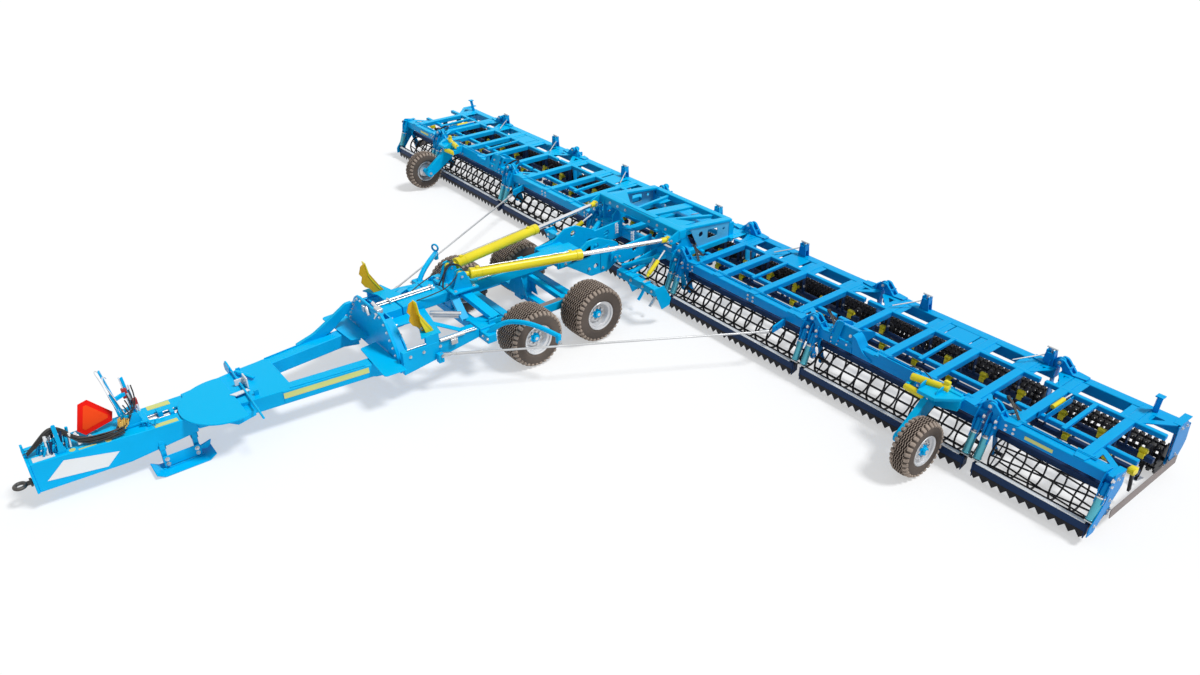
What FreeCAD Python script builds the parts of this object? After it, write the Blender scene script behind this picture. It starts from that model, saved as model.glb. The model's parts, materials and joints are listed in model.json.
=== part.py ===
import FreeCAD, Part
import Sketcher
import math
import os

V = FreeCAD.Vector
Rotation = FreeCAD.Rotation
Placement = FreeCAD.Placement

# A trailed seedbed cultivator in its working position, in millimetres. +X points to the towing
# eye, +Y to the machine's left, +Z up. The origin lies on the ground under the middle of the
# machine. Places along the machine are counted from the rear transport axle.

DIMENSIONS = {
    "rear_axle_x": -2051,
    # running gear
    "wheelbase": 1120, "track_half": 990,
    "tyre_dia": 866, "tyre_width": 490, "rim_dia": 440, "axle_dia": 90,
    "support_dia": 760, "support_width": 264, "support_rim_dia": 392,
    "support_x": -1025, "support_y": 6030,
    # drawbar
    "eye_x": 7560, "eye_height": 305, "eye_bore": 68, "eye_ring": 164, "eye_thick": 42,
    "nose_x": 7400, "nose_half": 200, "nose_foot": 250, "plate_x": 5200, "plate_y": 200,
    "plate_dia": 1100, "deck_front": 655, "deck_back": 585, "deck_top": 600, "arm_depth": 205,
    "portal_x": 2850, "portal_half": 900, "portal_top": 990, "portal_foot": 430,
    "spine_top": 1030, "spine_width": 280, "spine_depth": 160, "core": 300,
    # tilt pivot of the tool frame and the lift cylinders
    "tilt_x": -950, "tilt_height": 800, "tilt_pin": 90,
    "lift_root_x": 1700, "lift_root_y": 170, "lift_root_height": 1240,
    "lift_eye_x": -1560, "lift_eye_y": 930, "lift_eye_height": 1120,
    "barrel_dia": 160, "rod_dia": 70, "barrel_reach": 1880, "rod_inside": 620, "lift_pin": 50,
    # tool frame
    "wing_pivot_y": 1080, "wing_pivot_height": 950, "knuckle_pin": 50,
    "knuckle_y": 3780, "outer_knuckle_y": 6480, "end_y": 8010, "knuckle_height": 930,
    "front_tube_x": -1750, "front_tube": 140, "front_tube_height": 750,
    "mid_tube_x": -2230, "thin_tube": 80, "mid_tube_height": 740,
    "brace_tube_x": -2870, "brace_tube_height": 780,
    "rear_beam_x": -3280, "rear_beam": 150, "rear_beam_height": 735,
    "cross_width": 120, "cross_depth": 90, "cross_height": 775,
    "leveller_x": -1450, "leveller_thick": 12, "tooth_pitch": 120,
    "front_roller_x": -1890, "front_roller_dia": 430,
    "rear_roller_x": -3330, "rear_roller_dia": 420,
    "carrier_front_x": -2450, "carrier_rear_x": -2800, "carrier_height": 470, "carrier": 70,
    "tine_pitch": 520, "frame_gap": 30, "tool_gap": 55,
    # parking stand
    "stand_x": 5860, "stand_y": 250, "stand_step": 385, "stand_leg": 60, "stand_skid": 540,
    "hose_dia": 76,
}

doc = FreeCAD.newDocument("SeedbedCultivator")
sheet = doc.addObject("Spreadsheet::Sheet", "Dimensions")
sheet.Label = "P"
for row, (alias, number) in enumerate(DIMENSIONS.items(), start=1):
    sheet.set(f"A{row}", alias)
    sheet.set(f"B{row}", str(number))
    sheet.setAlias(f"B{row}", alias)
doc.recompute()


class Sizes:
    """Reads a driving dimension from the sheet by its name."""

    def __getattr__(self, alias):
        return float(sheet.get(alias))


d = Sizes()
SIDES = {"left": 1, "right": -1}
PARTS = []


def number_of(size):
    """A size as a number: a plain number, or the sheet's value under that name."""
    return float(sheet.get(size)) if isinstance(size, str) else float(size)


def give(item, prop, size, share=1):
    """Sets one size of an object, bound to the sheet where the size is a name."""
    if isinstance(size, str):
        item.setExpression(prop, f"P.{size} * {share}")
    else:
        setattr(item, prop, size * share)


def at(x, y, z):
    """A point of the machine, with x counted from the rear transport axle."""
    return V(d.rear_axle_x + x, y, z)


def box(name, middle, size, turn=Rotation()):
    """A box about its middle."""
    item = doc.addObject("Part::Box", name)
    for prop, one in zip(("Length", "Width", "Height"), size):
        give(item, prop, one)
    half = V(*[number_of(one) / 2 for one in size])
    item.Placement = Placement(middle - turn.multVec(half), turn)
    return item


def strut(name, start, end, width, depth):
    """A straight box tube from one point to another."""
    run = end - start
    item = doc.addObject("Part::Box", name)
    item.Length = run.Length
    give(item, "Width", width)
    give(item, "Height", depth)
    heading = math.degrees(math.atan2(run.y, run.x))
    climb = math.degrees(math.asin(run.z / run.Length))
    turn = Rotation(heading, -climb, 0)
    half = V(0, number_of(width) / 2, number_of(depth) / 2)
    item.Placement = Placement(start - turn.multVec(half), turn)
    return item


def rod(name, start, end, diameter):
    """A round bar from one point to another."""
    run = end - start
    item = doc.addObject("Part::Cylinder", name)
    give(item, "Radius", diameter, 0.5)
    item.Height = run.Length
    item.Placement = Placement(start, Rotation(V(0, 0, 1), run))
    return item


def fuse(name, pieces, kept=True):
    """Joins pieces into one sub-part."""
    item = doc.addObject("Part::MultiFuse", name)
    item.Shapes = pieces
    if kept:
        item.Label = name
        PARTS.append(item)
    return item


def cut(name, base, tools, kept=True):
    """Takes tools away from a base."""
    tool = tools[0] if len(tools) == 1 else fuse(name + "_tools", tools, kept=False)
    item = doc.addObject("Part::Cut", name)
    item.Base = base
    item.Tool = tool
    if kept:
        item.Label = name
        PARTS.append(item)
    return item


def body_feature(body, role):
    """One origin plane or axis of a body, found by its role."""
    return next(f for f in body.Origin.OriginFeatures if f.Role == role)


def outline(body, role, corners, rings=()):
    """A closed outline of straight edges, with round holes, on an origin plane."""
    sketch = body.newObject("Sketcher::SketchObject", body.Name + "_outline")
    sketch.AttachmentSupport = [(body_feature(body, role), "")]
    sketch.MapMode = "FlatFace"
    count = len(corners)
    for a, b in zip(corners, corners[1:] + corners[:1]):
        sketch.addGeometry(Part.LineSegment(V(a[0], a[1], 0), V(b[0], b[1], 0)), False)
    for k in range(count):
        sketch.addConstraint(Sketcher.Constraint("Coincident", k, 2, (k + 1) % count, 1))
    for u, v, radius in rings:
        sketch.addGeometry(Part.Circle(V(u, v, 0), V(0, 0, 1), radius), False)
    return sketch


def plate(name, role, corners, thickness, middle, rings=()):
    """A flat plate, padded both ways from an origin plane that lies at its middle."""
    body = doc.addObject("PartDesign::Body", name)
    pad = body.newObject("PartDesign::Pad", name + "_pad")
    pad.Profile = outline(body, role, corners, rings)
    give(pad, "Length", thickness)
    pad.Midplane = True
    body.Placement = Placement(middle, Rotation())
    return body


def side_plate(name, corners, thickness, y, rings=()):
    """An upright plate along the machine, outlined in x and z."""
    return plate(name, "XZ_Plane", corners, thickness, at(0, y, 0), rings)


def deck_plate(name, corners, thickness, z, rings=()):
    """A level plate, outlined in x and y."""
    return plate(name, "XY_Plane", corners, thickness, at(0, 0, z), rings)


def turned(name, corners, middle, kept=True):
    """A round piece spun about a cross axis, outlined as (place in y, radius)."""
    body = doc.addObject("PartDesign::Body", name)
    spin = body.newObject("PartDesign::Revolution", name + "_spin")
    spin.Profile = outline(body, "XY_Plane", [(radius, y) for y, radius in corners])
    spin.ReferenceAxis = (body_feature(body, "Y_Axis"), [""])
    spin.Angle = 360
    body.Placement = Placement(middle, Rotation())
    if kept:
        body.Label = name
        PARTS.append(body)
    return body


def mirrored(corners, side):
    """Level outline corners on the left or, turned over, on the right."""
    return corners if side > 0 else [(x, -y) for x, y in reversed(corners)]


# ---------------------------------------------------------------- drawbar

def leg_places():
    """Where along the machine the two legs of the parking stand are."""
    return d.stand_x - d.stand_step / 2, d.stand_x + d.stand_step / 2


def drawbar_nose():
    """The tapered box between the towing eye and the turntable plate. It widens towards the back
    and its deck falls a little."""
    back = 5600
    side = side_plate("nose_side", [(d.nose_x, d.nose_foot), (d.nose_x, d.deck_front),
                                    (back, d.deck_back), (back, 360), (6400, d.nose_foot)], 700, 0)
    half = d.nose_half
    plan = deck_plate("nose_plan", [(d.nose_x, -half), (d.nose_x, half), (back, half + 100),
                                    (back, -half - 100)], 900, 450)
    body = doc.addObject("Part::Common", "nose_body")
    body.Base, body.Tool = side, plan
    front = box("nose_front", at(d.nose_x + 10, 0, 465), (30, 2 * half + 20, 430))
    post = box("nose_post", at(d.nose_x + 10, 0, 745), (30, 60, 140))
    guide = box("hose_guide", at(7052, 165, 830), (80, 20, 400))
    slot = box("nose_slot", at(5960, 0, d.deck_back), (480, 150, 160))
    shank_hole = rod("nose_shank_hole", at(d.nose_x - 260, 0, d.eye_height),
                     at(d.nose_x + 60, 0, d.eye_height), 80.2)
    shafts = [box(f"nose_shaft_{k}", at(x, d.stand_y, 430), (62, 62, 300))
              for k, x in enumerate(leg_places())]
    whole = fuse("nose_pieces", [body, front, post, guide], kept=False)
    cut("drawbar_nose", whole, [slot, shank_hole] + shafts)


def towing_eye():
    """The ring with its swivelling shank."""
    low, high = d.eye_height - d.eye_thick / 2, d.eye_height + d.eye_thick / 2
    ring = rod("eye_ring", at(d.eye_x, 0, low), at(d.eye_x, 0, high), "eye_ring")
    bore = rod("eye_bore", at(d.eye_x, 0, low - 5), at(d.eye_x, 0, high + 5), "eye_bore")
    start = d.eye_x - d.eye_ring / 2 + 6
    flange = rod("eye_flange", at(d.nose_x + 31, 0, d.eye_height),
                 at(d.nose_x + 56, 0, d.eye_height), 110)
    shank = rod("eye_shank", at(d.nose_x - 250, 0, d.eye_height),
                at(d.nose_x + 40, 0, d.eye_height), 80)
    neck = rod("eye_neck", at(d.nose_x + 50, 0, d.eye_height), at(start, 0, d.eye_height), 48)
    whole = fuse("towing_eye_pieces", [ring, flange, shank, neck], kept=False)
    cut("towing_eye", whole, [bore])


def drawbar_fork():
    """The turntable plate, off to the left, and the two arms that run back to the portal."""
    top, depth = d.deck_top, d.arm_depth
    middle = top - depth / 2
    disc = rod("turntable_disc", at(d.plate_x, d.plate_y, top), at(d.plate_x, d.plate_y, top + 20),
               "plate_dia")
    trim = box("turntable_trim", at(d.plate_x - 620, d.plate_y, top), (1000, 1300, 90))
    disc = cut("turntable", disc, [trim], kept=False)
    body = deck_plate("fork_body", [(5600, -300), (5600, 300), (4850, 430), (4400, 470),
                                    (4400, -470), (4850, -430)], depth, middle)
    hatch = box("fork_hatch", at(5005, 190, middle), (190, 120, 400))
    body = cut("fork_box", body, [hatch], kept=False)
    pieces = [disc, body, rod("locking_bar", at(4840, -830, top + 35), at(4840, 830, top + 35), 30),
              box("locking_paddle", at(4840, -440, top + 30), (30, 180, 90))]
    for label, side in SIDES.items():
        pieces.append(strut(f"arm_{label}", at(4600, side * 365, middle),
                            at(3082, side * 511, middle), 190, depth))
        pieces.append(deck_plate(f"arm_gusset_{label}", mirrored(
            [(3330, 140), (3080, 110), (3080, 1020), (3390, 1000)], side), 14, top + 7))
        pieces.append(box(f"bar_stop_{label}", at(4840, side * 330, top + 30), (60, 20, 90)))
    pieces.append(side_plate("arm_brace", [
        (3960, 540), (3960, 605), (3700, 680), (3400, 850), (3180, 985), (3090, 985),
        (3090, 900), (3300, 750), (3450, 620)], 60, -540))
    fuse("drawbar_fork", pieces)


def portal_frame():
    """The flanged arch that carries the fork, with lids, side beams and the root of the spine."""
    pieces = []
    for name, x, thick, profile in (
            ("portal_front", 3050, 40, [(780, 430), (765, 600), (690, 780), (460, 1080),
                                        (360, 1150)]),
            ("portal_back", 2900, 30, [(780, 430), (765, 600), (640, 790), (400, 1000),
                                       (330, 1030)])):
        corners = profile + [(-y, z) for y, z in profile[::-1]]
        pieces.append(plate(name, "YZ_Plane", corners, thick, at(x, 0, 0)))
    pieces.append(box("portal_core", at(2840, 0, 880), (400, "core", "core")))
    pieces.append(box("portal_floor", at(2975, 0, 445), (170, 1500, 30)))
    for label, side in SIDES.items():
        pieces.append(side_plate(f"portal_beam_{label}", [
            (3060, 450), (3060, 790), (2170, 770), (1882, 740), (1882, 620), (2550, 520),
            (2900, 470)], 80, side * 855))
        pieces.append(box(f"portal_tie_{label}", at(2975, side * 800, 560), (170, 60, 200)))
        lid = mirrored([(2310, 152), (2900, 152), (2900, 370), (2640, 400), (2650, 620),
                        (2760, 880), (2470, 895)], side)
        pieces.append(deck_plate(f"portal_lid_{label}", lid, 20, 900))
        pieces.append(box(f"portal_upright_{label}", at(2600, side * 865, 830),
                          (220, 50, 150)))
        pieces.append(strut(f"portal_shoulder_{label}", at(2975, side * 380, 1040),
                            at(2975, side * 720, 640), 150, 24))
        pieces.append(box(f"portal_tail_{label}", at(2000, side * 760, 680), (220, 150, 130)))
    fuse("portal_frame", pieces)


def spine_beam():
    """The box beam under the lift cylinders, its clevis and the cheeks of the tilt pivot."""
    height = d.spine_top - d.spine_depth / 2
    front, back = 2628, -420
    pieces = [box("spine_box", at((front + back) / 2, 0, height),
                  (front - back, "spine_width", "spine_depth"))]
    for label, side in SIDES.items():
        cheek = side_plate(f"cheek_{label}", [
            (110, 880), (110, 1020), (-220, 1020), (-470, 1180), (-680, 1180), (-1070, 1000),
            (-1080, 700), (-850, 570), (-520, 570), (-60, 880)], 40, side * 300)
        pieces.append(cheek)
        pieces.append(box(f"cheek_web_{label}", at(-130, side * 210, 945), (460, 170, 110)))
        pieces += clevis(label, side)
    pieces.append(box("clevis_base", at(d.lift_root_x, 0, 1040), (420, 600, 30)))
    shaft = rod("tilt_shaft", at(d.tilt_x, -430, d.tilt_height), at(d.tilt_x, 430, d.tilt_height),
                "tilt_pin")
    fuse("spine_beam", pieces + [shaft])


def lift_line(side):
    """Where a lift cylinder is pinned on the spine, its eye on the tower, the way from one to the
    other, and the level axis of its pin."""
    root = at(d.lift_root_x, side * d.lift_root_y, d.lift_root_height)
    eye = at(d.lift_eye_x, side * d.lift_eye_y, d.lift_eye_height)
    way = (eye - root).normalize()
    across = V(0, 0, 1).cross(way).normalize() * -1
    return root, eye, way, across


def clevis(label, side):
    """Two upright plates and the pin of a lift cylinder, square to the way that it points."""
    root, eye, way, across = lift_line(side)
    turn = Rotation(V(0, 1, 0), across)
    pieces = [rod(f"clevis_pin_{label}", root - across * 72, root + across * 72, "lift_pin")]
    for k, offset in enumerate((-54, 54)):
        ear = plate(f"clevis_{label}_{k}", "XZ_Plane", [
            (-150, -200), (-60, 70), (60, 70), (150, -200)], 24, root)
        ear.Placement = Placement(root + across * offset, turn)
        pieces.append(ear)
    return pieces


def axle_frame():
    """The ladder that carries the four transport wheels, and the two stay guides."""
    half = d.tyre_dia / 2
    inner = d.track_half - d.tyre_width / 2
    pieces = []
    for x in (0, d.wheelbase):
        pieces.append(rod(f"axle_{x:.0f}", at(x, -d.track_half - 140, half),
                          at(x, d.track_half + 140, half), "axle_dia"))
        pieces.append(box(f"axle_box_{x:.0f}", at(x, 0, half), (130, 2 * (inner - 60), 130)))
    for x, length, foot in ((560, 200, 450), (1560, 120, 760), (1800, 130, 650)):
        top = d.spine_top - d.spine_depth - 1
        pieces.append(box(f"post_{x}", at(x, 0, (top + foot) / 2), (length, 200, top - foot)))
    pieces.append(box("middle_cross", at(560, 0, 500), (110, 1200, 100)))
    pieces.append(box("outrigger_cross", at(1800, 0, 650), (150, 2200, 130)))
    for label, side in SIDES.items():
        y = side * (inner - 130)
        pieces.append(box(f"rail_{label}", at(560, y, 500), (1700, 110, 140)))
        for name, start, end in (("front", 1560, 1350), ("back", 500, 240)):
            pieces.append(strut(f"brace_{name}_{label}", at(start, side * 70, 815),
                                at(end, y, 540), 80, 80))
        pieces.append(box(f"arm_box_{label}", at(1740, side * 740, 665), (270, 330, 160)))
        pieces.append(strut(f"arm_back_{label}", at(1700, side * 170, 985),
                            at(1570, side * 820, 790), 150, 30))
        pieces.append(strut(f"arm_front_{label}", at(1840, side * 170, 985),
                            at(1840, side * 520, 700), 120, 30))
        pieces.append(box(f"arm_stand_{label}", at(1620, side * 815, 770), (120, 30, 90)))
        pieces.append(side_plate(f"outrigger_{label}", [
            (1800, 590), (1800, 710), (1620, 700), (1340, 570), (1340, 440)], 60, side * 615))
    pieces += [piece for label, side in SIDES.items() for piece in stay_guide(label, side)]
    fuse("axle_frame", pieces)


def stay_guide(label, side):
    """A swan neck over the front transport wheel, its boss beside the wing stay."""
    knots = [(1790, 1000, 690), (1690, 1050, 800), (1540, 1150, 860), (1370, 1320, 850),
             (1220, 1510, 790), (1110, 1695, 700)]
    points = [at(x, side * y, z) for x, y, z in knots]
    pieces = [rod(f"guide_{label}_{k}", a, b, 70)
              for k, (a, b) in enumerate(zip(points, points[1:]))]
    for k, (x, y, z) in enumerate(knots[1:-1]):
        ball = doc.addObject("Part::Sphere", f"guide_bend_{label}_{k}")
        ball.Radius = 38
        ball.Placement = Placement(at(x, side * y, z), Rotation())
        pieces.append(ball)
    pieces.append(box(f"guide_boss_{label}", points[-1] + V(0, 0, -45), (70, 70, 150)))
    return pieces


def wing_catchers():
    """The two notched plates that the folded wings slide down into."""
    pieces = []
    for label, side in SIDES.items():
        pieces.append(side_plate(f"catcher_{label}", [
            (2500, 912), (2690, 912), (2726, 1000), (2844, 998), (2922, 1084), (2915, 1176),
            (2864, 1195), (2833, 1278), (2797, 1377), (2726, 1402), (2690, 1230),
            (2560, 1000)], 20, side * 720))
        pieces.append(strut(f"catcher_edge_{label}", at(2726, side * 745, 1402),
                            at(2700, side * 745, 1210), 100, 14))
        pieces.append(strut(f"catcher_bend_{label}", at(2702, side * 745, 1214),
                            at(2560, side * 745, 945), 100, 14))
    fuse("wing_catchers", pieces)


def wing_stays():
    """The taut stays from under the portal to the wings."""
    pieces = []
    for label, side in SIDES.items():
        pieces.append(rod(f"stay_{label}", at(2520, side * 945, 600), at(-1385, side * 3270, 590),
                          36))
        pieces.append(box(f"stay_anchor_{label}", at(2540, side * 940, 560), (90, 90, 140)))
    fuse("wing_stays", pieces)


def coupling_rack():
    """The upright holder that parks the hose couplings."""
    pieces = [strut("rack_left", at(6300, 30, 645), at(6425, 0, 1440), 50, 40),
              strut("rack_right", at(6175, -60, 645), at(6210, -100, 1230), 50, 40),
              strut("rack_shelf", at(6370, 15, 1000), at(6180, -85, 1000), 30, 60),
              box("rack_foot", at(6240, -10, 635), (240, 240, 40))]
    fuse("coupling_rack", pieces)


def hose_bundle():
    """The hoses, clipped from the nose over the guide to the rack."""
    knots = [(7385, 60, 700), (7260, 70, 800), (7130, 85, 915), (7040, 95, 925), (6960, 105, 850),
             (6885, 120, 740), (6790, 150, 685), (6650, 195, 672), (6500, 215, 668),
             (6380, 190, 665)]
    path = [at(x, y, z) for x, y, z in knots]
    edges = []
    last = path[0]
    for before, corner, after in zip(path, path[1:], path[2:]):
        into = (corner - before).normalize()
        out = (after - corner).normalize()
        reach = 0.45 * min((corner - before).Length, (after - corner).Length)
        bend = into.getAngle(out)
        radius = reach / math.tan(bend / 2)
        start = corner - into * reach
        end = corner + out * reach
        inward = (out - into).normalize()
        gap = radius / math.cos(bend / 2) - radius
        edges.append(Part.LineSegment(last, start).toShape())
        edges.append(Part.Arc(start, corner + inward * gap, end).toShape())
        print(f"hose bend radius {radius:.0f} mm")
        last = end
    edges.append(Part.LineSegment(last, path[-1]).toShape())
    wire = Part.Wire(edges)
    ring = Part.Wire([Part.Circle(path[0], path[1] - path[0], d.hose_dia / 2).toShape()])
    item = doc.addObject("Part::Feature", "hose_bundle")
    item.Shape = wire.makePipeShell([ring], True, True)
    item.Label = "hose_bundle"
    PARTS.append(item)
    section_area = math.pi * (d.hose_dia / 2) ** 2
    print(f"hose volume ratio {item.Shape.Volume / (wire.Length * section_area):.4f}")


def warning_triangle():
    """The slow vehicle sign, tipped over on its stalk: a triangle with cut corners."""
    middle = at(6634, -50, 840)
    reach, clip, first = 216, 55, math.radians(78)
    corners = []
    for k in range(3):
        angle = first + 2 * math.pi * k / 3
        along = (math.cos(angle), math.sin(angle))
        for s in (1, -1):
            corners.append((reach * along[0] + s * clip * along[1],
                            reach * along[1] - s * clip * along[0]))
    sign = plate("sign_plate", "XZ_Plane", corners, 6, V(0, 0, 0))
    sign.Placement = Placement(middle, Rotation(0, 0, 14))
    stalk = strut("sign_stalk", at(6640, -100, 632), at(6634, -70, 900), 24, 40)
    fuse("warning_triangle", [sign, stalk])


def parking_stand():
    """Two legs with a cross plate and a ski foot, sliding in collars under the nose."""
    leg_top, foot = 400, 30
    legs = []
    collars = []
    face = d.stand_y + d.stand_leg / 2
    for k, x in enumerate(leg_places()):
        legs.append(box(f"stand_leg_{k}", at(x, d.stand_y, (leg_top + foot) / 2),
                        ("stand_leg", "stand_leg", leg_top - foot)))
        legs.append(box(f"stand_pad_{k}", at(x, face + 12, 70), ("stand_leg", 26, 50)))
        outer = box(f"stand_collar_{k}", at(x, d.stand_y, 320), (80, 80, 90))
        bore = box(f"stand_bore_{k}", at(x, d.stand_y, 320), (62, 62, 200))
        collars.append(cut(f"stand_guide_{k}", outer, [bore], kept=False))
    cross = box("stand_cross", at(d.stand_x, face + 31, 120), (450, 14, 150))
    skid = box("stand_skid_plate", at(d.stand_x, d.stand_y + 60, 15), ("stand_skid", 300, foot))
    toes = [box(f"stand_toe_{k}", at(d.stand_x + s * (d.stand_skid / 2 + 30), d.stand_y + 60, 42),
                (110, 300, 14), Rotation(0, -s * 35, 0)) for k, s in enumerate((1, -1))]
    fuse("parking_stand", legs + [cross, skid] + toes)
    cut("stand_sleeves", fuse("stand_collars", collars, kept=False),
        [doc.getObject("nose_body")])


# ---------------------------------------------------------------- wheels

def wheel(label, middle, diameter, width, rim_dia, names):
    """One tyre with rounded shoulders and its dished rim."""
    radius, half, seat = diameter / 2, width / 2, rim_dia / 2
    turned(names[0], [
        (-half + 30, seat), (-half, seat + 30), (-half, radius - 70), (-half + 35, radius - 12),
        (-half + 90, radius), (half - 90, radius), (half - 35, radius - 12), (half, radius - 70),
        (half, seat + 30), (half - 30, seat)], middle)
    side = 1 if middle.y > 0 else -1
    disc = side * (half - min(150, 0.3 * width))
    inner = seat - 0.5
    hub = d.axle_dia / 2 + 0.08
    profile = [(-half + 20, inner - 25), (-half + 20, inner), (half - 20, inner),
               (half - 20, inner - 25), (disc + 20, inner - 55), (disc + 20, 120),
               (disc + 70, 100), (disc + 70, hub), (disc - 110, hub), (disc - 110, 90),
               (disc - 20, 110), (disc - 20, inner - 55)]
    if side < 0:
        profile = [(-half + 20, inner - 25), (-half + 20, inner), (half - 20, inner),
                   (half - 20, inner - 25), (disc + 20, inner - 55), (disc + 20, 110),
                   (disc + 110, 90), (disc + 110, hub), (disc - 70, hub), (disc - 70, 100),
                   (disc - 20, 120), (disc - 20, inner - 55)]
    turned(names[1], profile, middle)


def wheels():
    """Four transport wheels."""
    for row, x in (("rear", 0), ("front", d.wheelbase)):
        for label, side in SIDES.items():
            wheel(label, at(x, side * d.track_half, d.tyre_dia / 2), d.tyre_dia, d.tyre_width,
                  d.rim_dia, (f"tyre_{row}_{label}", f"rim_{row}_{label}"))


def support_wheel(label, side):
    """A depth wheel with its arm in front of the wing."""
    middle = at(d.support_x, side * d.support_y, d.support_dia / 2)
    wheel(label, middle, d.support_dia, d.support_width, d.support_rim_dia,
          (f"support_tyre_{label}", f"support_rim_{label}"))
    inside = side * (d.support_y - 235)
    arm = strut(f"support_arm_bar_{label}", at(-1635, inside, 770),
                at(d.support_x, inside, d.support_dia / 2), 90, 120)
    stub = rod(f"support_stub_{label}", at(d.support_x, inside, d.support_dia / 2),
               at(d.support_x, side * (d.support_y + 100), d.support_dia / 2), "axle_dia")
    seat = box(f"support_seat_{label}", at(-1650, inside, 800), (60, 260, 240))
    ram = rod(f"support_ram_{label}", at(-1640, inside - side * 420, 905),
              at(-1560, inside + side * 20, 905), 90)
    ram_seat = box(f"support_ram_seat_{label}", at(-1640, inside - side * 400, 850),
                   (80, 80, 110))
    head = box(f"support_head_{label}", at(-1590, inside, 860), (120, 120, 120))
    fuse(f"support_arm_{label}", [arm, stub, seat, ram, ram_seat, head])


# ---------------------------------------------------------------- lift cylinders

def lift_cylinder(label, side):
    """Barrel and rod between the clevis and the tower."""
    root, eye, way, across = lift_line(side)
    end = root + way * d.barrel_reach
    hollow = rod(f"lift_bore_{label}", root + way * 230, end + way * 10, d.rod_dia + 0.2)
    barrel = rod(f"lift_tube_{label}", root + way * 130, end, "barrel_dia")
    tail = rod(f"lift_tail_{label}", root, root + way * 150, 70)
    ring = rod(f"lift_ring_{label}", root - across * 38, root + across * 38, 100)
    hole = rod(f"lift_hole_{label}", root - across * 60, root + across * 60, d.lift_pin + 0.2)
    whole = fuse(f"lift_barrel_pieces_{label}", [barrel, tail, ring], kept=False)
    cut(f"lift_barrel_{label}", whole, [hollow, hole])
    piston = rod(f"lift_piston_{label}", eye - way * ((eye - end).Length + d.rod_inside), eye,
                 "rod_dia")
    eye_ring = rod(f"lift_eye_{label}", eye - across * 30, eye + across * 30, 110)
    eye_hole = rod(f"lift_eye_hole_{label}", eye - across * 50, eye + across * 50, 54)
    rod_whole = fuse(f"lift_rod_pieces_{label}", [piston, eye_ring], kept=False)
    cut(f"lift_rod_{label}", rod_whole, [eye_hole])


# ---------------------------------------------------------------- tool frame

def knuckle(name, side, y, height, x, toward):
    """One half of a frame hinge: the inner half is the middle ear with its pin, the outer half is
    a fork of two ears with a bore."""
    ears = []
    places = (x,) if toward < 0 else (x - 48, x + 48)
    for k, place in enumerate(places):
        foot = side * (y + toward * 190)
        tip = side * y
        ear = plate(f"{name}_ear_{k}", "YZ_Plane", [
            (foot, 690), (foot, 825), (tip + toward * side * 50, height + 36),
            (tip + toward * side * 10, height + 46), (tip - toward * side * 35, height + 30),
            (tip - toward * side * 45, height - 10), (tip - toward * side * 28, height - 38),
            (tip + toward * side * 45, height - 70), (tip + toward * side * 60, 690)], 40,
            at(place, 0, 0))
        ears.append(ear)
    pin = rod(f"{name}_pin", at(x - 80, side * y, height), at(x + 80, side * y, height),
              d.knuckle_pin if toward < 0 else d.knuckle_pin + 0.2)
    return ears, pin


def section(name, side, y0, y1, in_height, out_height, cross_places):
    """One tool section between two places in y: frame, tools and two rollers. side 0 is the
    centre section, which lies across the machine's middle."""
    if side == 0:
        low, high, side = -y1, y1, 1
        centre = True
    else:
        low, high = sorted((side * y0, side * y1))
        centre = False
    middle = (low + high) / 2
    length = high - low - 2 * d.frame_gap
    tool_length = high - low - 2 * d.tool_gap
    pieces = [
        box(f"{name}_front_tube", at(d.front_tube_x, middle, d.front_tube_height),
            ("front_tube", length, "front_tube")),
        box(f"{name}_rear_beam", at(d.rear_beam_x, middle, d.rear_beam_height),
            ("rear_beam", length, "rear_beam")),
        box(f"{name}_mid_tube", at(d.mid_tube_x, middle, d.mid_tube_height),
            ("thin_tube", length, "thin_tube")),
        box(f"{name}_brace_tube", at(d.brace_tube_x, middle, d.brace_tube_height),
            ("thin_tube", length, "thin_tube")),
    ]
    reach = d.front_tube_x - d.rear_beam_x
    centre_x = (d.front_tube_x + d.rear_beam_x) / 2
    for k, y in enumerate(cross_places):
        pieces.append(box(f"{name}_cross_{k}", at(centre_x, y, d.cross_height),
                          (reach + 60, "cross_width", "cross_depth")))
        for row, x in (("front", d.carrier_front_x), ("rear", d.carrier_rear_x)):
            pieces.append(box(f"{name}_hanger_{row}_{k}", at(x, y, 620), (70, 30, 230)))
    front_drop = d.front_tube_height - 60
    for k, y in enumerate((low + 75, high - 75)):
        pieces.append(rod(f"{name}_spring_{k}", at(-1660, y, 730), at(d.leveller_x - 30, y, 262),
                          60))
        pieces.append(strut(f"{name}_roller_arm_{k}", at(-1760, y, front_drop),
                            at(d.front_roller_x, y, d.front_roller_dia / 2), 14, 90))
        pieces.append(strut(f"{name}_rear_arm_{k}", at(-3290, y, front_drop),
                            at(d.rear_roller_x, y, d.rear_roller_dia / 2), 14, 110))
    pins = []
    bores = [rod(f"{name}_bore_{x:.0f}", at(x, low + 40, dia / 2), at(x, high - 40, dia / 2), 50.2)
             for x, dia in ((d.front_roller_x, d.front_roller_dia),
                            (d.rear_roller_x, d.rear_roller_dia))]
    if not centre:
        for x in (d.front_tube_x, d.rear_beam_x):
            ears, bore = knuckle(f"{name}_in_{x:.0f}", side, y0, in_height, x, 1)
            pieces += ears
            bores.append(bore)
    if out_height:
        for turn_side in ((1, -1) if centre else (side,)):
            for x in (d.front_tube_x, d.rear_beam_x):
                ears, pin = knuckle(f"{name}_out_{turn_side + 1}_{x:.0f}", turn_side,
                                    y1, out_height, x, -1)
                pieces += ears
                pins.append(pin)
    return pieces, pins, bores, (low, high, middle, tool_length)


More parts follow.
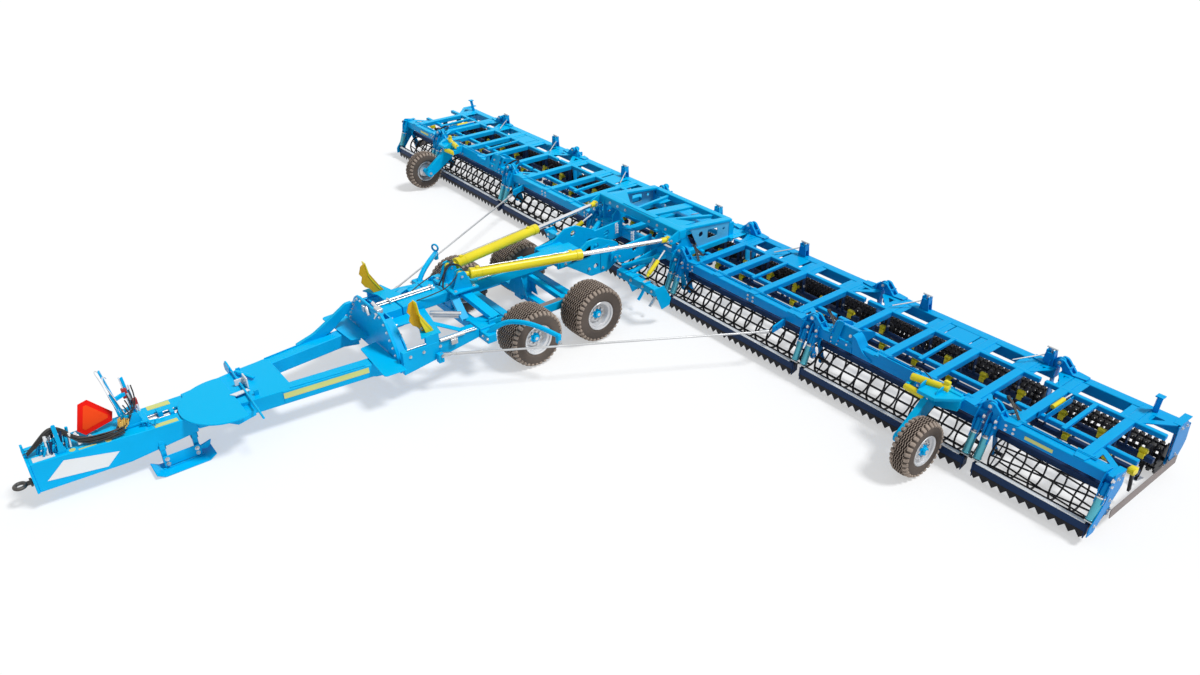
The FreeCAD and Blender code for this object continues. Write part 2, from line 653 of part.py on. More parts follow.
def tools(name, span):
    """The toothed levelling bar and the two rows of tines."""
    low, high, middle, length = span
    teeth = max(2, round(length / d.tooth_pitch))
    pitch = length / teeth
    corners = [(-length / 2, 250)]
    for k in range(teeth):
        left = -length / 2 + k * pitch
        corners += [(left, 110), (left + pitch / 2, 45)]
    corners += [(length / 2, 110), (length / 2, 250)]
    blade = plate(f"{name}_blade", "YZ_Plane", corners, "leveller_thick",
                  at(d.leveller_x, middle, 0))
    back = box(f"{name}_blade_back", at(d.leveller_x - 36, middle, 200), (60, length, 60))
    pieces = [blade, back]
    for row, x in (("front", d.carrier_front_x), ("rear", d.carrier_rear_x)):
        pieces.append(box(f"{name}_carrier_{row}", at(x, middle, d.carrier_height),
                          ("carrier", length, "carrier")))
        count = max(2, round((length - 160) / d.tine_pitch) + 1)
        shift = 0 if row == "front" else 0.5
        step = (length - 200) / (count - 0.5)
        for k in range(count):
            y = low + d.tool_gap + 70 + (k + shift) * step
            pieces.append(strut(f"{name}_shank_{row}_{k}", at(x - 10, y, 450),
                                at(x - 100, y, 92), 40, 16))
            pieces.append(box(f"{name}_share_{row}_{k}", at(x - 70, y, 84), (150, 110, 14),
                              Rotation(0, 14, 0)))
            pieces.append(box(f"{name}_clamp_{row}_{k}", at(x + 5, y, 484), (110, 70, 38)))
    fuse(f"{name}_tools", pieces)


def roller(name, span, x, diameter, bars, rings):
    """A roller on its shaft: rings joined by bars."""
    low, high, middle, length = span
    face = length - 120
    radius = diameter / 2
    centre = at(x, middle, radius)
    reach = length / 2 - 5
    if x == d.front_roller_x:
        pieces = [rod(f"{name}_stub_{turn}", centre + V(0, turn * (face / 2 - 60), 0),
                      centre + V(0, turn * reach, 0), 50) for turn in (-1, 1)]
    else:
        pieces = [rod(f"{name}_shaft", centre - V(0, reach, 0), centre + V(0, reach, 0), 50)]
    for k in range(rings):
        y = -face / 2 + 10 + k * (face - 20) / (rings - 1)
        outer = rod(f"{name}_ring_{k}", centre + V(0, y - 6, 0), centre + V(0, y + 6, 0),
                    diameter)
        if 0 < k < rings - 1:
            eye = rod(f"{name}_ring_eye_{k}", centre + V(0, y - 20, 0), centre + V(0, y + 20, 0),
                      diameter - 90)
            outer = cut(f"{name}_ring_cut_{k}", outer, [eye], kept=False)
        pieces.append(outer)
    for k in range(bars):
        angle = 2 * math.pi * k / bars
        offset = V(math.cos(angle), 0, math.sin(angle)) * (radius - 18)
        pieces.append(rod(f"{name}_bar_{k}", centre + offset - V(0, face / 2, 0),
                          centre + offset + V(0, face / 2, 0), 26))
    fuse(name, pieces)


def tower():
    """The trapezoid stand on the centre frame that the lift cylinders pull on."""
    front_x, back_x, half = -1790, -2930, 905
    pieces = [box("tower_front", at(front_x, 0, 1170), (150, 2 * half + 240, 150))]
    for label, side in SIDES.items():
        y = side * half
        pieces.append(strut(f"tower_side_{label}", at(front_x, y, 1175), at(back_x, y, 1040),
                            130, 130))
        pieces.append(side_plate(f"tower_foot_{label}", [
            (-1700, 760), (-1700, 1150), (-1960, 1150), (-2140, 800)], 24, y - side * 30,
            ((-1850, 960, 60),)))
        pieces.append(box(f"tower_post_{label}", at(back_x, y, 900), (110, 110, 280)))
        pieces.append(side_plate(f"tower_web_{label}", [
            (-2250, 1080), (-2800, 1010), (-2800, 800), (-2250, 800)], 14, y))
        pieces.append(side_plate(f"tower_lug_{label}", [
            (-1720, 1060), (-1720, 1240), (-1600, 1190), (-1515, 1160), (-1505, 1085),
            (-1560, 1055)], 30, side * (d.lift_eye_y + 62),
            ((d.lift_eye_x, d.lift_eye_height, 26),)))
    pieces.append(box("tower_back", at(back_x, 0, 1030), (110, 2 * half, 110)))
    pieces.append(strut("tower_king", at(front_x, 0, 1150), at(back_x, 0, 1030), 200, 40))
    return pieces


def tilt_arms():
    """The arms from the tilt shaft to the centre frame, with the track looseners' beam."""
    arms = []
    for label, side in SIDES.items():
        arm = side_plate(f"tilt_arm_{label}", [
            (-860, 740), (-860, 880), (-1000, 930), (-1700, 980), (-1700, 690), (-1100, 660)],
            40, side * 372)
        arms.append(arm)
        arms.append(box(f"track_beam_{label}", at(-940, side * 960, 590), (120, 920, 120)))
        arms.append(side_plate(f"track_link_{label}", [
            (-900, 560), (-900, 640), (-1690, 790), (-1690, 700)], 30, side * 520))
        for k, y in enumerate((860, 1140)):
            arms.append(strut(f"track_tine_{label}_{k}", at(-960, side * y, 560),
                              at(-1080, side * y, 200), 60, 20))
    return arms


def end_guard(name, side):
    """The end plates and the flat side guard of an outer section."""
    y = side * (d.end_y - d.frame_gap + 6)
    front = side_plate(f"{name}_end_front", [
        (-1400, 130), (-1400, 230), (-1640, 640), (-1690, 800), (-1900, 800), (-1960, 640),
        (-1700, 330), (-1520, 130)], 12, y)
    back = side_plate(f"{name}_end_back", [
        (-3180, 300), (-3180, 800), (-3440, 800), (-3520, 520), (-3440, 240)], 12, y)
    band = side_plate(f"{name}_band", [
        (-1850, 150), (-1850, 290), (-3450, 300), (-3450, 165)], 10, y + side * 11)
    return [front, back, band]


def hood(name, side):
    """The arched bracket over the front tube beside the support wheel's rams, with its gussets."""
    middle, half = 4285, 185
    pieces = [strut(f"{name}_hood_front", at(-1665, side * middle, 690),
                    at(-1790, side * middle, 980), 2 * half, 14),
              strut(f"{name}_hood_back", at(-1788, side * middle, 978),
                    at(-2150, side * middle, 830), 2 * half, 14)]
    for k, y in enumerate((middle - half, middle + half)):
        pieces.append(side_plate(f"{name}_hood_rim_{k}", [
            (-1670, 690), (-1655, 760), (-1790, 995), (-2160, 845), (-2160, 780), (-1820, 750),
            (-1820, 690)], 20, side * y))
    for k, x in enumerate((-1680, -1815)):
        gusset = [(side * y, z) for y, z in ((4465, 700), (4465, 970), (4530, 940), (4590, 850),
                                             (4670, 770), (4800, 720), (4800, 700))]
        pieces.append(plate(f"{name}_gusset_{k}", "YZ_Plane", gusset, 20, at(x, 0, 0)))
    return pieces


def tool_frame():
    """All seven tool sections."""
    crosses = {"centre": (-930, -330, 330, 930), "inner": (1330, 1880, 2620, 3380),
               "middle": (4180, 4880, 5560, 6180), "outer": (6760, 7570)}
    spans = {"inner": (d.wing_pivot_y, d.knuckle_y, d.wing_pivot_height, d.knuckle_height),
             "middle": (d.knuckle_y, d.outer_knuckle_y, d.knuckle_height, d.knuckle_height),
             "outer": (d.outer_knuckle_y, d.end_y, d.knuckle_height, 0)}
    pieces, pins, bores, span = section("centre", 0, 0, d.wing_pivot_y, 0,
                                        d.wing_pivot_height, crosses["centre"])
    shaft_bore = rod("tilt_bore", at(d.tilt_x, -450, d.tilt_height),
                     at(d.tilt_x, 450, d.tilt_height), d.tilt_pin + 0.2)
    whole = fuse("centre_frame_pieces", pieces + pins + tower() + tilt_arms(), kept=False)
    cut("centre_frame", whole, [shaft_bore] + bores)
    tools("centre", span)
    roller("centre_front_roller", span, d.front_roller_x, d.front_roller_dia, 8, 5)
    roller("centre_rear_roller", span, d.rear_roller_x, d.rear_roller_dia, 8, 9)
    for label, side in SIDES.items():
        for part, (y0, y1, in_height, out_height) in spans.items():
            name = f"{part}_{label}"
            places = [side * y for y in crosses[part]]
            pieces, pins, bores, span = section(name, side, y0, y1, in_height, out_height, places)
            extra = end_guard(name, side) if part == "outer" else []
            if part == "middle":
                extra = hood(name, side)
            if part == "inner":
                extra = [box(f"{name}_stay_lug", at(-1560, side * 3300, 640), (240, 30, 150))]
            whole = fuse(f"{name}_frame_pieces", pieces + pins + extra, kept=False)
            cut(f"{name}_frame", whole, bores)
            tools(name, span)
            rings = 3 if part == "outer" else 5
            roller(f"{name}_front_roller", span, d.front_roller_x, d.front_roller_dia, 8, rings)
            roller(f"{name}_rear_roller", span, d.rear_roller_x, d.rear_roller_dia, 8,
                   2 * rings - 1)
        support_wheel(label, side)


drawbar_nose()
towing_eye()
drawbar_fork()
portal_frame()
spine_beam()
axle_frame()
wing_catchers()
wing_stays()
coupling_rack()
hose_bundle()
warning_triangle()
parking_stand()
wheels()
for which, hand in SIDES.items():
    lift_cylinder(which, hand)
tool_frame()

doc.recompute()
for item in doc.Objects:
    for state in ("Invalid", "Error"):
        if state in item.State:
            raise RuntimeError(f"{item.Label} is {state}")
os.makedirs("parts", exist_ok=True)
low = V(1e9, 1e9, 1e9)
high = V(-1e9, -1e9, -1e9)
for item in PARTS:
    shape = item.Shape
    if shape.isNull() or not shape.isValid():
        raise RuntimeError(f"{item.Label} has no valid shape")
    bounds = shape.BoundBox
    print(f"{item.Label:26s} {len(shape.Solids)} solids {shape.Volume / 1e9:.4f} m3")
    low = V(min(low.x, bounds.XMin), min(low.y, bounds.YMin), min(low.z, bounds.ZMin))
    high = V(max(high.x, bounds.XMax), max(high.y, bounds.YMax), max(high.z, bounds.ZMax))
    shape.exportStep(f"parts/{item.Label}.step")
print("lowest", low, "highest", high, "middle", (low + high) * 0.5, len(PARTS), "parts")
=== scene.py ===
# %% [markdown]
# A trailed seedbed cultivator, dressed for its portrait. The welded frames, wheels and joints come
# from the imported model, which stays fixed. Here each of them gets its finish, and where the real
# thing has rounded tubes, tread, springs or bolts, a detailed piece takes the place of the plain one.

import bpy
import json
import math
from contextlib import contextmanager
from mathutils import Matrix, Vector

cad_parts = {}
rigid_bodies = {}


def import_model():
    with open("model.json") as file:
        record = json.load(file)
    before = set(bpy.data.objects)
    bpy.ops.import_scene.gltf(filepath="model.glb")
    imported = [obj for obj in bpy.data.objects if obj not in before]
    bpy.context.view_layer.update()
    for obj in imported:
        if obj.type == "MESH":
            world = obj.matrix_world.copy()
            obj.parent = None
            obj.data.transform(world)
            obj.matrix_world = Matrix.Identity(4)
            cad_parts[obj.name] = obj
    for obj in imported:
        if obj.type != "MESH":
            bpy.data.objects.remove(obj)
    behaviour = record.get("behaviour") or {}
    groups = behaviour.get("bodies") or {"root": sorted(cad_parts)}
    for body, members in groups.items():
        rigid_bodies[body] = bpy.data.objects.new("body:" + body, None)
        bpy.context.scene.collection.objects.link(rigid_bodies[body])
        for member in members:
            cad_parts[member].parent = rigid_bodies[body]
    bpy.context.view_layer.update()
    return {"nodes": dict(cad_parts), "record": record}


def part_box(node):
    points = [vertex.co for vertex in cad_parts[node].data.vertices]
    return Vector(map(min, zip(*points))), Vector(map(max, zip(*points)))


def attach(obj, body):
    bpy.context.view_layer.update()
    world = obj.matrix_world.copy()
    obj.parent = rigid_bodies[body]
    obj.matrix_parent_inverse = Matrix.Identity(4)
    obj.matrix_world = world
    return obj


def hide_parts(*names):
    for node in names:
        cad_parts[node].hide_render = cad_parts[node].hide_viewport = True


for leftover in list(bpy.data.objects):
    bpy.data.objects.remove(leftover)
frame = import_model()
scene = bpy.context.scene

# %% [markdown]
# Every place on the machine is told from the rear transport axle, as a fitter would measure it.
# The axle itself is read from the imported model, so the pieces land on its frames.

# %% Places
low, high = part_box("tyre_rear_left")
AXLE_X = (low.x + high.x) / 2
SIDES = {"left": 1, "right": -1}


def at(x, y, z):
    """A point of the machine, with x told from the rear transport axle."""
    return Vector((AXLE_X + x, y, z))


# %% [markdown]
# The camera stands high in front of the machine's left wing and looks down its drawbar. A wide lens
# makes the near wing large and the far wing small, which is what gives the long T its drama.

# %% Camera
CAMERA_PLACE = at(7.432, 10.789, 7.222)
CAMERA_YAW, CAMERA_PITCH, CAMERA_ROLL = 232.235, 30.591, 0.532
camera = bpy.data.objects.new("camera", bpy.data.cameras.new("camera"))
scene.collection.objects.link(camera)
scene.camera = camera
camera.data.sensor_width = 36
camera.data.lens = 28.06
camera.data.clip_end = 300
yaw, pitch, roll = (math.radians(v) for v in (CAMERA_YAW, CAMERA_PITCH, CAMERA_ROLL))
forward = Vector((math.cos(yaw) * math.cos(pitch), math.sin(yaw) * math.cos(pitch), -math.sin(pitch)))
right = Vector((math.sin(yaw), -math.cos(yaw), 0))
down = forward.cross(right)
right, down = (right * math.cos(roll) + down * math.sin(roll),
               down * math.cos(roll) - right * math.sin(roll))
turn = Matrix((right, -down, -forward)).transposed()
camera.matrix_world = Matrix.Translation(CAMERA_PLACE) @ turn.to_4x4()

# %% [markdown]
# The light is a broad sun and a pale world. What looks straight at the world sees plain white, and
# the floor is lifted half way to white for the same rays. The machine is lit by neither of these, so
# its colours and its shadow stay.

# %% Light and world
SKY_COLOUR, SKY_STRENGTH = (0.93, 0.96, 1.0, 1), 0.40
SUN_STRENGTH, SUN_WIDTH, SUN_FROM = 2.5, math.radians(12), Vector((-0.3, 0.42, 0.86))


def arithmetic(tree, operation, first, second):
    """One clamped arithmetic node on sockets or numbers."""
    node = tree.nodes.new("ShaderNodeMath")
    node.operation = operation
    node.use_clamp = True
    for socket, value in zip(node.inputs, (first, second)):
        if isinstance(value, float):
            socket.default_value = value
        else:
            tree.links.new(value, socket)
    return node.outputs[0]


def seen_directly(tree):
    """A share that is 1 for what the camera, a mirror or glass looks at, and 0 for plain light."""
    path = tree.nodes.new("ShaderNodeLightPath")
    share = path.outputs["Is Camera Ray"]
    for ray in ("Is Glossy Ray", "Is Transmission Ray"):
        share = arithmetic(tree, "ADD", share, path.outputs[ray])
    return share


def mixed(tree, share, first, second, target):
    """Feeds a target with a mix of two shaders."""
    mix = tree.nodes.new("ShaderNodeMixShader")
    for socket, source in zip(mix.inputs, (share, first.outputs[0], second.outputs[0])):
        tree.links.new(source, socket)
    tree.links.new(mix.outputs[0], target.inputs["Surface"])


scene.view_settings.view_transform = "Standard"
world = bpy.data.worlds.new("studio")
scene.world = world
world.use_nodes = True
tree = world.node_tree
tree.nodes.clear()
sky, plain = tree.nodes.new("ShaderNodeBackground"), tree.nodes.new("ShaderNodeBackground")
sky.inputs["Color"].default_value = SKY_COLOUR
sky.inputs["Strength"].default_value = SKY_STRENGTH
plain.inputs["Color"].default_value = (1, 1, 1, 1)
mixed(tree, seen_directly(tree), sky, plain, tree.nodes.new("ShaderNodeOutputWorld"))

sun = bpy.data.objects.new("sun", bpy.data.lights.new("sun", "SUN"))
scene.collection.objects.link(sun)
sun.data.energy = SUN_STRENGTH
sun.data.angle = SUN_WIDTH
sun.rotation_mode = "QUATERNION"
sun.rotation_quaternion = SUN_FROM.to_track_quat("Z", "Y")

# %% Floor
bpy.ops.object.select_all(action="DESELECT")
bpy.ops.mesh.primitive_circle_add(vertices=96, radius=140, fill_type="NGON", location=(0, 0, -0.002))
floor = bpy.context.object
floor.name = "floor"
white = bpy.data.materials.new("floor_white")
white.use_nodes = True
tree = white.node_tree
paper = tree.nodes["Principled BSDF"]
paper.inputs["Base Color"].default_value = (0.97, 0.97, 0.97, 1)
paper.inputs["Roughness"].default_value = 1.0
paper.inputs["Specular IOR Level"].default_value = 0.0
mixed(tree, arithmetic(tree, "MULTIPLY", seen_directly(tree), 0.5), paper,
      tree.nodes.new("ShaderNodeEmission"), tree.nodes["Material Output"])
floor.data.materials.append(white)


# %% [markdown]
# Farm enamel is sprayed thick and glossy, then stands outdoors. Its colour drifts a little from
# sheet to sheet, fine dust settles on what faces up and dulls it, and the film has a faint ripple.
# The faces that look up are also painted a lighter colour, as painted sunlight on the tops. All the
# finishes share these effects, so they are one node group with its own inputs, and a finish only
# chooses how much it takes.

# %% Shared node group
SHEET_SCALE, GRAIN_SCALE, SPECK_SCALE, RIPPLE_SCALE = 1.3, 9.0, 28.0, 260.0


def noise(tree, coordinates, scale, detail=3.0):
    """A noise texture on object coordinates."""
    node = tree.nodes.new("ShaderNodeTexNoise")
    node.inputs["Scale"].default_value = scale
    node.inputs["Detail"].default_value = detail
    tree.links.new(coordinates, node.inputs["Vector"])
    return node.outputs["Fac"]


def stretched(tree, value, low, high):
    """A value stretched so that low becomes 0 and high becomes 1."""
    node = tree.nodes.new("ShaderNodeMapRange")
    tree.links.new(value, node.inputs["Value"])
    node.inputs["From Min"].default_value = low
    node.inputs["From Max"].default_value = high
    return node.outputs["Result"]


def blended(tree, share, first, second):
    """A colour mix driven by a share."""
    node = tree.nodes.new("ShaderNodeMix")
    node.data_type = "RGBA"
    for label, source in (("Factor", share), ("A", first), ("B", second)):
        tree.links.new(source, node.inputs[label])
    return node.outputs["Result"]


def settled_dust():
    """Drift, painted sunlight on the tops and dust: gives the colour, the roughness and the height of the
    ripple.
    """
    tree = bpy.data.node_groups.new("settled_dust", "ShaderNodeTree")
    for label, kind, value in (("Paint", "Color", (0.5, 0.5, 0.5, 1)), ("Shade", "Color", (0, 0, 0, 1)),
                               ("Dust", "Color", (0.5, 0.42, 0.32, 1)), ("Amount", "Float", 0.2),
                               ("Gloss", "Float", 0.25), ("Faded", "Color", (0.5, 0.5, 0.5, 1)),
                               ("Fading", "Float", 0.0)):
        socket = tree.interface.new_socket(name=label, in_out="INPUT", socket_type="NodeSocket" + kind)
        socket.default_value = value
    for label, kind in (("Color", "Color"), ("Roughness", "Float"), ("Height", "Float")):
        tree.interface.new_socket(name=label, in_out="OUTPUT", socket_type="NodeSocket" + kind)
    given = tree.nodes.new("NodeGroupInput").outputs
    out = tree.nodes.new("NodeGroupOutput").inputs
    place = tree.nodes.new("ShaderNodeTexCoord").outputs["Object"]
    facing = tree.nodes.new("ShaderNodeSeparateXYZ")
    tree.links.new(tree.nodes.new("ShaderNodeNewGeometry").outputs["Normal"], facing.inputs[0])
    up = stretched(tree, facing.outputs["Z"], 0.25, 1.0)
    drift = stretched(tree, noise(tree, place, SHEET_SCALE), 0.35, 0.65)
    grain = stretched(tree, noise(tree, place, GRAIN_SCALE, 6.0), 0.38, 0.68)
    specks = stretched(tree, noise(tree, place, SPECK_SCALE, 8.0), 0.55, 0.75)
    sheet = blended(tree, drift, given["Paint"], given["Shade"])
    # Painted sunlight: the faces that look up blend towards a lighter colour, as lit tops.
    faded = arithmetic(tree, "MULTIPLY", up, given["Fading"])
    sheet = blended(tree, faded, sheet, given["Faded"])
    settled = arithmetic(tree, "MULTIPLY", arithmetic(tree, "MULTIPLY", up, grain), given["Amount"])
    splashed = arithmetic(tree, "MULTIPLY", specks, arithmetic(tree, "MULTIPLY", given["Amount"], 0.5))
    cover = arithmetic(tree, "ADD", settled, splashed)
    dulled = arithmetic(tree, "ADD", given["Gloss"], arithmetic(tree, "MULTIPLY", cover, 0.6))
    tree.links.new(blended(tree, cover, sheet, given["Dust"]), out["Color"])
    tree.links.new(dulled, out["Roughness"])
    tree.links.new(noise(tree, place, RIPPLE_SCALE, 2.0), out["Height"])
    return tree


DUST_GROUP = settled_dust()
FINISH = {}
print("shared group", DUST_GROUP.name, "with", len(DUST_GROUP.nodes), "nodes")


# %% [markdown]
# A paint is one Principled shader fed by the dust group. The same function makes rubber, zinc and
# chrome too: what differs is the metal share, the gloss and how much dust they hold. Numbers that
# are the same all over stay on the shader's own sockets. There are three copies of one blue, lit and
# shaded: the drawbar and the tower get the lightest, the right wing a deeper one and the left wing
# the deepest, as painted shade.

# %% Finishes
def finish(name, colour, dust, shade=0.86, gloss=0.28, metal=0.0, mirror=0.3, ripple=0.02,
           dust_colour=(0.50, 0.47, 0.42), faded=None):
    """A material: base colour, dust, how dark its drift goes, roughness, metal share, how strongly
    its surface mirrors, ripple, and the lighter colour painted on its upper faces as painted sunlight."""
    material = bpy.data.materials.new(name)
    material.use_nodes = True
    tree = material.node_tree
    shader = tree.nodes["Principled BSDF"]
    shader.inputs["Metallic"].default_value = metal
    shader.inputs["Specular IOR Level"].default_value = mirror
    dusty = tree.nodes.new("ShaderNodeGroup")
    dusty.node_tree = DUST_GROUP
    dusty.inputs["Paint"].default_value = (*colour, 1)
    dusty.inputs["Shade"].default_value = (*[c * shade for c in colour], 1)
    dusty.inputs["Dust"].default_value = (*dust_colour, 1)
    dusty.inputs["Amount"].default_value = dust
    dusty.inputs["Gloss"].default_value = gloss
    # The lighter colour on the upper faces is painted sunlight.
    if faded:
        dusty.inputs["Faded"].default_value = (*faded, 1)
        dusty.inputs["Fading"].default_value = 0.85
    tree.links.new(dusty.outputs["Color"], shader.inputs["Base Color"])
    tree.links.new(dusty.outputs["Roughness"], shader.inputs["Roughness"])
    if ripple:
        bump = tree.nodes.new("ShaderNodeBump")
        bump.inputs["Strength"].default_value = ripple
        bump.inputs["Distance"].default_value = 0.002
        tree.links.new(dusty.outputs["Height"], bump.inputs["Height"])
        tree.links.new(bump.outputs["Normal"], shader.inputs["Normal"])
    FINISH[name] = material


COLOURS = {row["slot"]: row["base_color"] for row in frame["record"]["materials"]}
# One blue paint in three copies, darkened by painted shade, each with painted sunlight on its tops.
for name, colour, faded in (("blue_paint", (0.0, 0.45, 0.86), (0.0, 0.50, 0.86)),
                            ("frame_blue", (0.0, 0.265, 0.70), (0.0, 0.42, 0.82)),
                            ("wing_blue", (0.0, 0.38, 0.80), (0.0, 0.53, 0.90))):
    finish(name, colour, shade=0.84, gloss=0.34, dust=0.0, mirror=0.08, faded=faded)
finish("navy_paint", (0.008, 0.032, 0.10), gloss=0.4, dust=0.0, mirror=0.12)
finish("yellow_paint", COLOURS["yellow_paint"], shade=0.8, dust=0.03)
finish("black_paint", COLOURS["black_paint"], gloss=0.45, dust=0.012, mirror=0.15)
finish("chrome", COLOURS["chrome"], gloss=0.09, metal=1.0, dust=0.02, ripple=0.0)
finish("galvanised", COLOURS["galvanised"], shade=0.75, gloss=0.33, metal=0.8, dust=0.05)
finish("cast_eye", COLOURS["cast_eye"], shade=0.6, gloss=0.45, metal=0.5, dust=0.1, ripple=0.3)
finish("tyre", COLOURS["tyre"], shade=0.6, gloss=0.75, dust=0.3, ripple=0.25,
       dust_colour=(0.24, 0.18, 0.14))
# Rib rubber: dust and a painted highlight on the rib tops. Groove rubber: painted shade in the recesses.
finish("tyre_rib", (0.36, 0.29, 0.24), shade=0.8, gloss=0.8, dust=0.3, ripple=0.25,
       dust_colour=(0.56, 0.47, 0.39))
finish("tyre_groove", (0.03, 0.021, 0.018), shade=0.7, gloss=0.85, dust=0.05, mirror=0.1,
       ripple=0.2, dust_colour=(0.12, 0.09, 0.07))
finish("rim", COLOURS["rim"], shade=0.88, gloss=0.3, metal=0.3, dust=0.08)
finish("hose", COLOURS["hose"], gloss=0.5, dust=0.08, ripple=0.15)
finish("sign_red", (0.92, 0.014, 0.008), shade=0.93, gloss=0.4, dust=0.0, mirror=0.06)
finish("sign_orange", (0.98, 0.075, 0.012), shade=0.95, gloss=0.4, dust=0.0, mirror=0.06)
finish("white_plate", (0.80, 0.82, 0.83), shade=0.95, gloss=0.35, dust=0.03)
finish("pale_label", (0.66, 0.70, 0.24), shade=0.9, gloss=0.4, dust=0.03, mirror=0.2)
finish("brass", (0.72, 0.48, 0.12), shade=0.7, gloss=0.25, metal=0.9, dust=0.04)
finish("red_cap", (0.42, 0.02, 0.02), shade=0.8, gloss=0.35, dust=0.03)
finish("pale_blue", (0.10, 0.50, 0.80), shade=0.9, gloss=0.3, dust=0.03)
finish("strut_steel", (0.10, 0.50, 0.62), shade=0.7, gloss=0.2, metal=0.45, dust=0.0, mirror=0.5)
# The catcher's yellow darkened to ochre: painted shade on the notched blade.
finish("ochre_paint", (0.72, 0.42, 0.015), shade=0.8, gloss=0.4, dust=0.02, mirror=0.15)
finish("tan_band", (0.26, 0.22, 0.21), shade=0.85, gloss=0.6, dust=0.15, ripple=0.2)
print(len(FINISH), "finishes")


# %% [markdown]
# Everything below is made of five shop parts: square tube, round bar, flame-cut plate, bent pipe and
# bolt. A small function stands for each of them, so a frame reads like a cutting list. Each one adds
# a primitive at its size and place and shapes it, and returns the object.

# %% Selecting, editing and pointing
def rest():
    """Leaves edit mode and deselects everything, because an operator acts on all that is selected."""
    if bpy.context.object and bpy.context.object.mode != "OBJECT":
        bpy.ops.object.mode_set(mode="OBJECT")
    bpy.ops.object.select_all(action="DESELECT")


@contextmanager
def edit_mode():
    """Edit mode for the lines inside, and object mode again after them."""
    bpy.ops.object.mode_set(mode="EDIT")
    yield
    bpy.ops.object.mode_set(mode="OBJECT")


def modified(item, kind, **settings):
    """An item with one modifier set and applied."""
    rest()
    item.select_set(True)
    bpy.context.view_layer.objects.active = item
    modifier = item.modifiers.new(kind, kind)
    for name, value in settings.items():
        setattr(modifier, name, value)
    bpy.ops.object.modifier_apply(modifier=modifier.name)
    return item


def joined(items):
    """Several shop parts as one, keeping their finishes."""
    rest()
    for item in items:
        item.select_set(True)
    bpy.context.view_layer.objects.active = items[0]
    bpy.ops.object.join()
    return bpy.context.object


def along(start, end):
    """The turn that lays local X from start to end and keeps local Y level."""
    x = (end - start).normalized()
    y = Vector((0, 0, 1)).cross(x)
    y = y.normalized() if y.length > 1e-4 else Vector((0, 1, 0))
    return Matrix((x, y, x.cross(y))).transposed().to_euler()


# %% [markdown]
# Rolled tube has round corners, and light catches them: a frame of sharp boxes looks like card. So
# each tube is a cube primitive stretched to size whose edges are bevelled in edit mode. Two segments
# are enough at this distance.

# %% Square tube
def tube(start, end, width, depth, corner=0.012):
    """A box section from start to end, with rounded corners."""
    rest()
    bpy.ops.mesh.primitive_cube_add(size=1, location=(start + end) / 2, rotation=along(start, end),
                                    scale=((end - start).length, width, depth))
    bpy.ops.object.transform_apply()
    if corner:
        with edit_mode():
            bpy.ops.mesh.bevel(offset=min(corner, 0.4 * min(width, depth)), segments=2,
                               affect="EDGES", clamp_overlap=False)
    return bpy.context.object


def block(middle, size, corner=0.006):
    """A block about its middle, its sides along the machine's axes."""
    half = Vector((size[0] / 2, 0, 0))
    return tube(middle - half, middle + half, size[1], size[2], corner)


# %% Round bar
def bar(start, end, diameter, sides=14, chamfer=0.0):
    """A round bar, pin or pipe from start to end."""
    rest()
    turn = (end - start).normalized().to_track_quat("Z", "Y").to_euler()
    bpy.ops.mesh.primitive_cylinder_add(vertices=sides, radius=diameter / 2, rotation=turn,
                                        depth=(end - start).length, location=(start + end) / 2)
    bpy.ops.object.transform_apply()
    if chamfer:
        item = bpy.context.object
        with edit_mode():
            bpy.ops.mesh.select_all(action="DESELECT")
        for face in item.data.polygons:
            face.select = len(face.vertices) > 4
        with edit_mode():
            bpy.ops.mesh.bevel(offset=chamfer, segments=1, affect="EDGES", clamp_overlap=False)
    return bpy.context.object


# %% [markdown]
# Plates are flame-cut to an outline. A filled circle primitive with as many corners as the outline
# is dragged to those corners, then extruded by the plate's thickness. Where there are holes, rings
# are added inside the outline and the gap between them is filled. A corner named with a radius is
# rounded by a few points on an arc.

# %% Plate
ARC_STEP, HOLE_CORNERS = math.radians(25), 16


def rounded(corners):
    """An outline in two coordinates: a corner (u, v, radius) becomes an arc of a few points."""
    points = []
    for k, corner in enumerate(corners):
        here = Vector(corner[:2])
        if len(corner) == 2:
            points.append(here)
            continue
        before = (Vector(corners[k - 1][:2]) - here).normalized()
        after = (Vector(corners[(k + 1) % len(corners)][:2]) - here).normalized()
        turn = before.angle(after)
        reach = corner[2] / math.tan(turn / 2)
        middle = here + (before + after).normalized() * (corner[2] / math.sin(turn / 2))
        first, last = here + before * reach - middle, here + after * reach - middle
        sweep = first.angle_signed(last)
        steps = max(2, round(abs(sweep) / ARC_STEP))
        points += [middle + Matrix.Rotation(-sweep * step / steps, 2) @ first
                   for step in range(steps + 1)]
    return points


def hole_ring(hole):
    """The points round a hole, which is (u, v, radius) or an outline."""
    if isinstance(hole, list):
        return rounded(hole)
    u, v, radius = hole
    angles = [2 * math.pi * k / HOLE_CORNERS for k in range(HOLE_CORNERS)]
    return [Vector((u + radius * math.cos(a), v + radius * math.sin(a))) for a in angles]


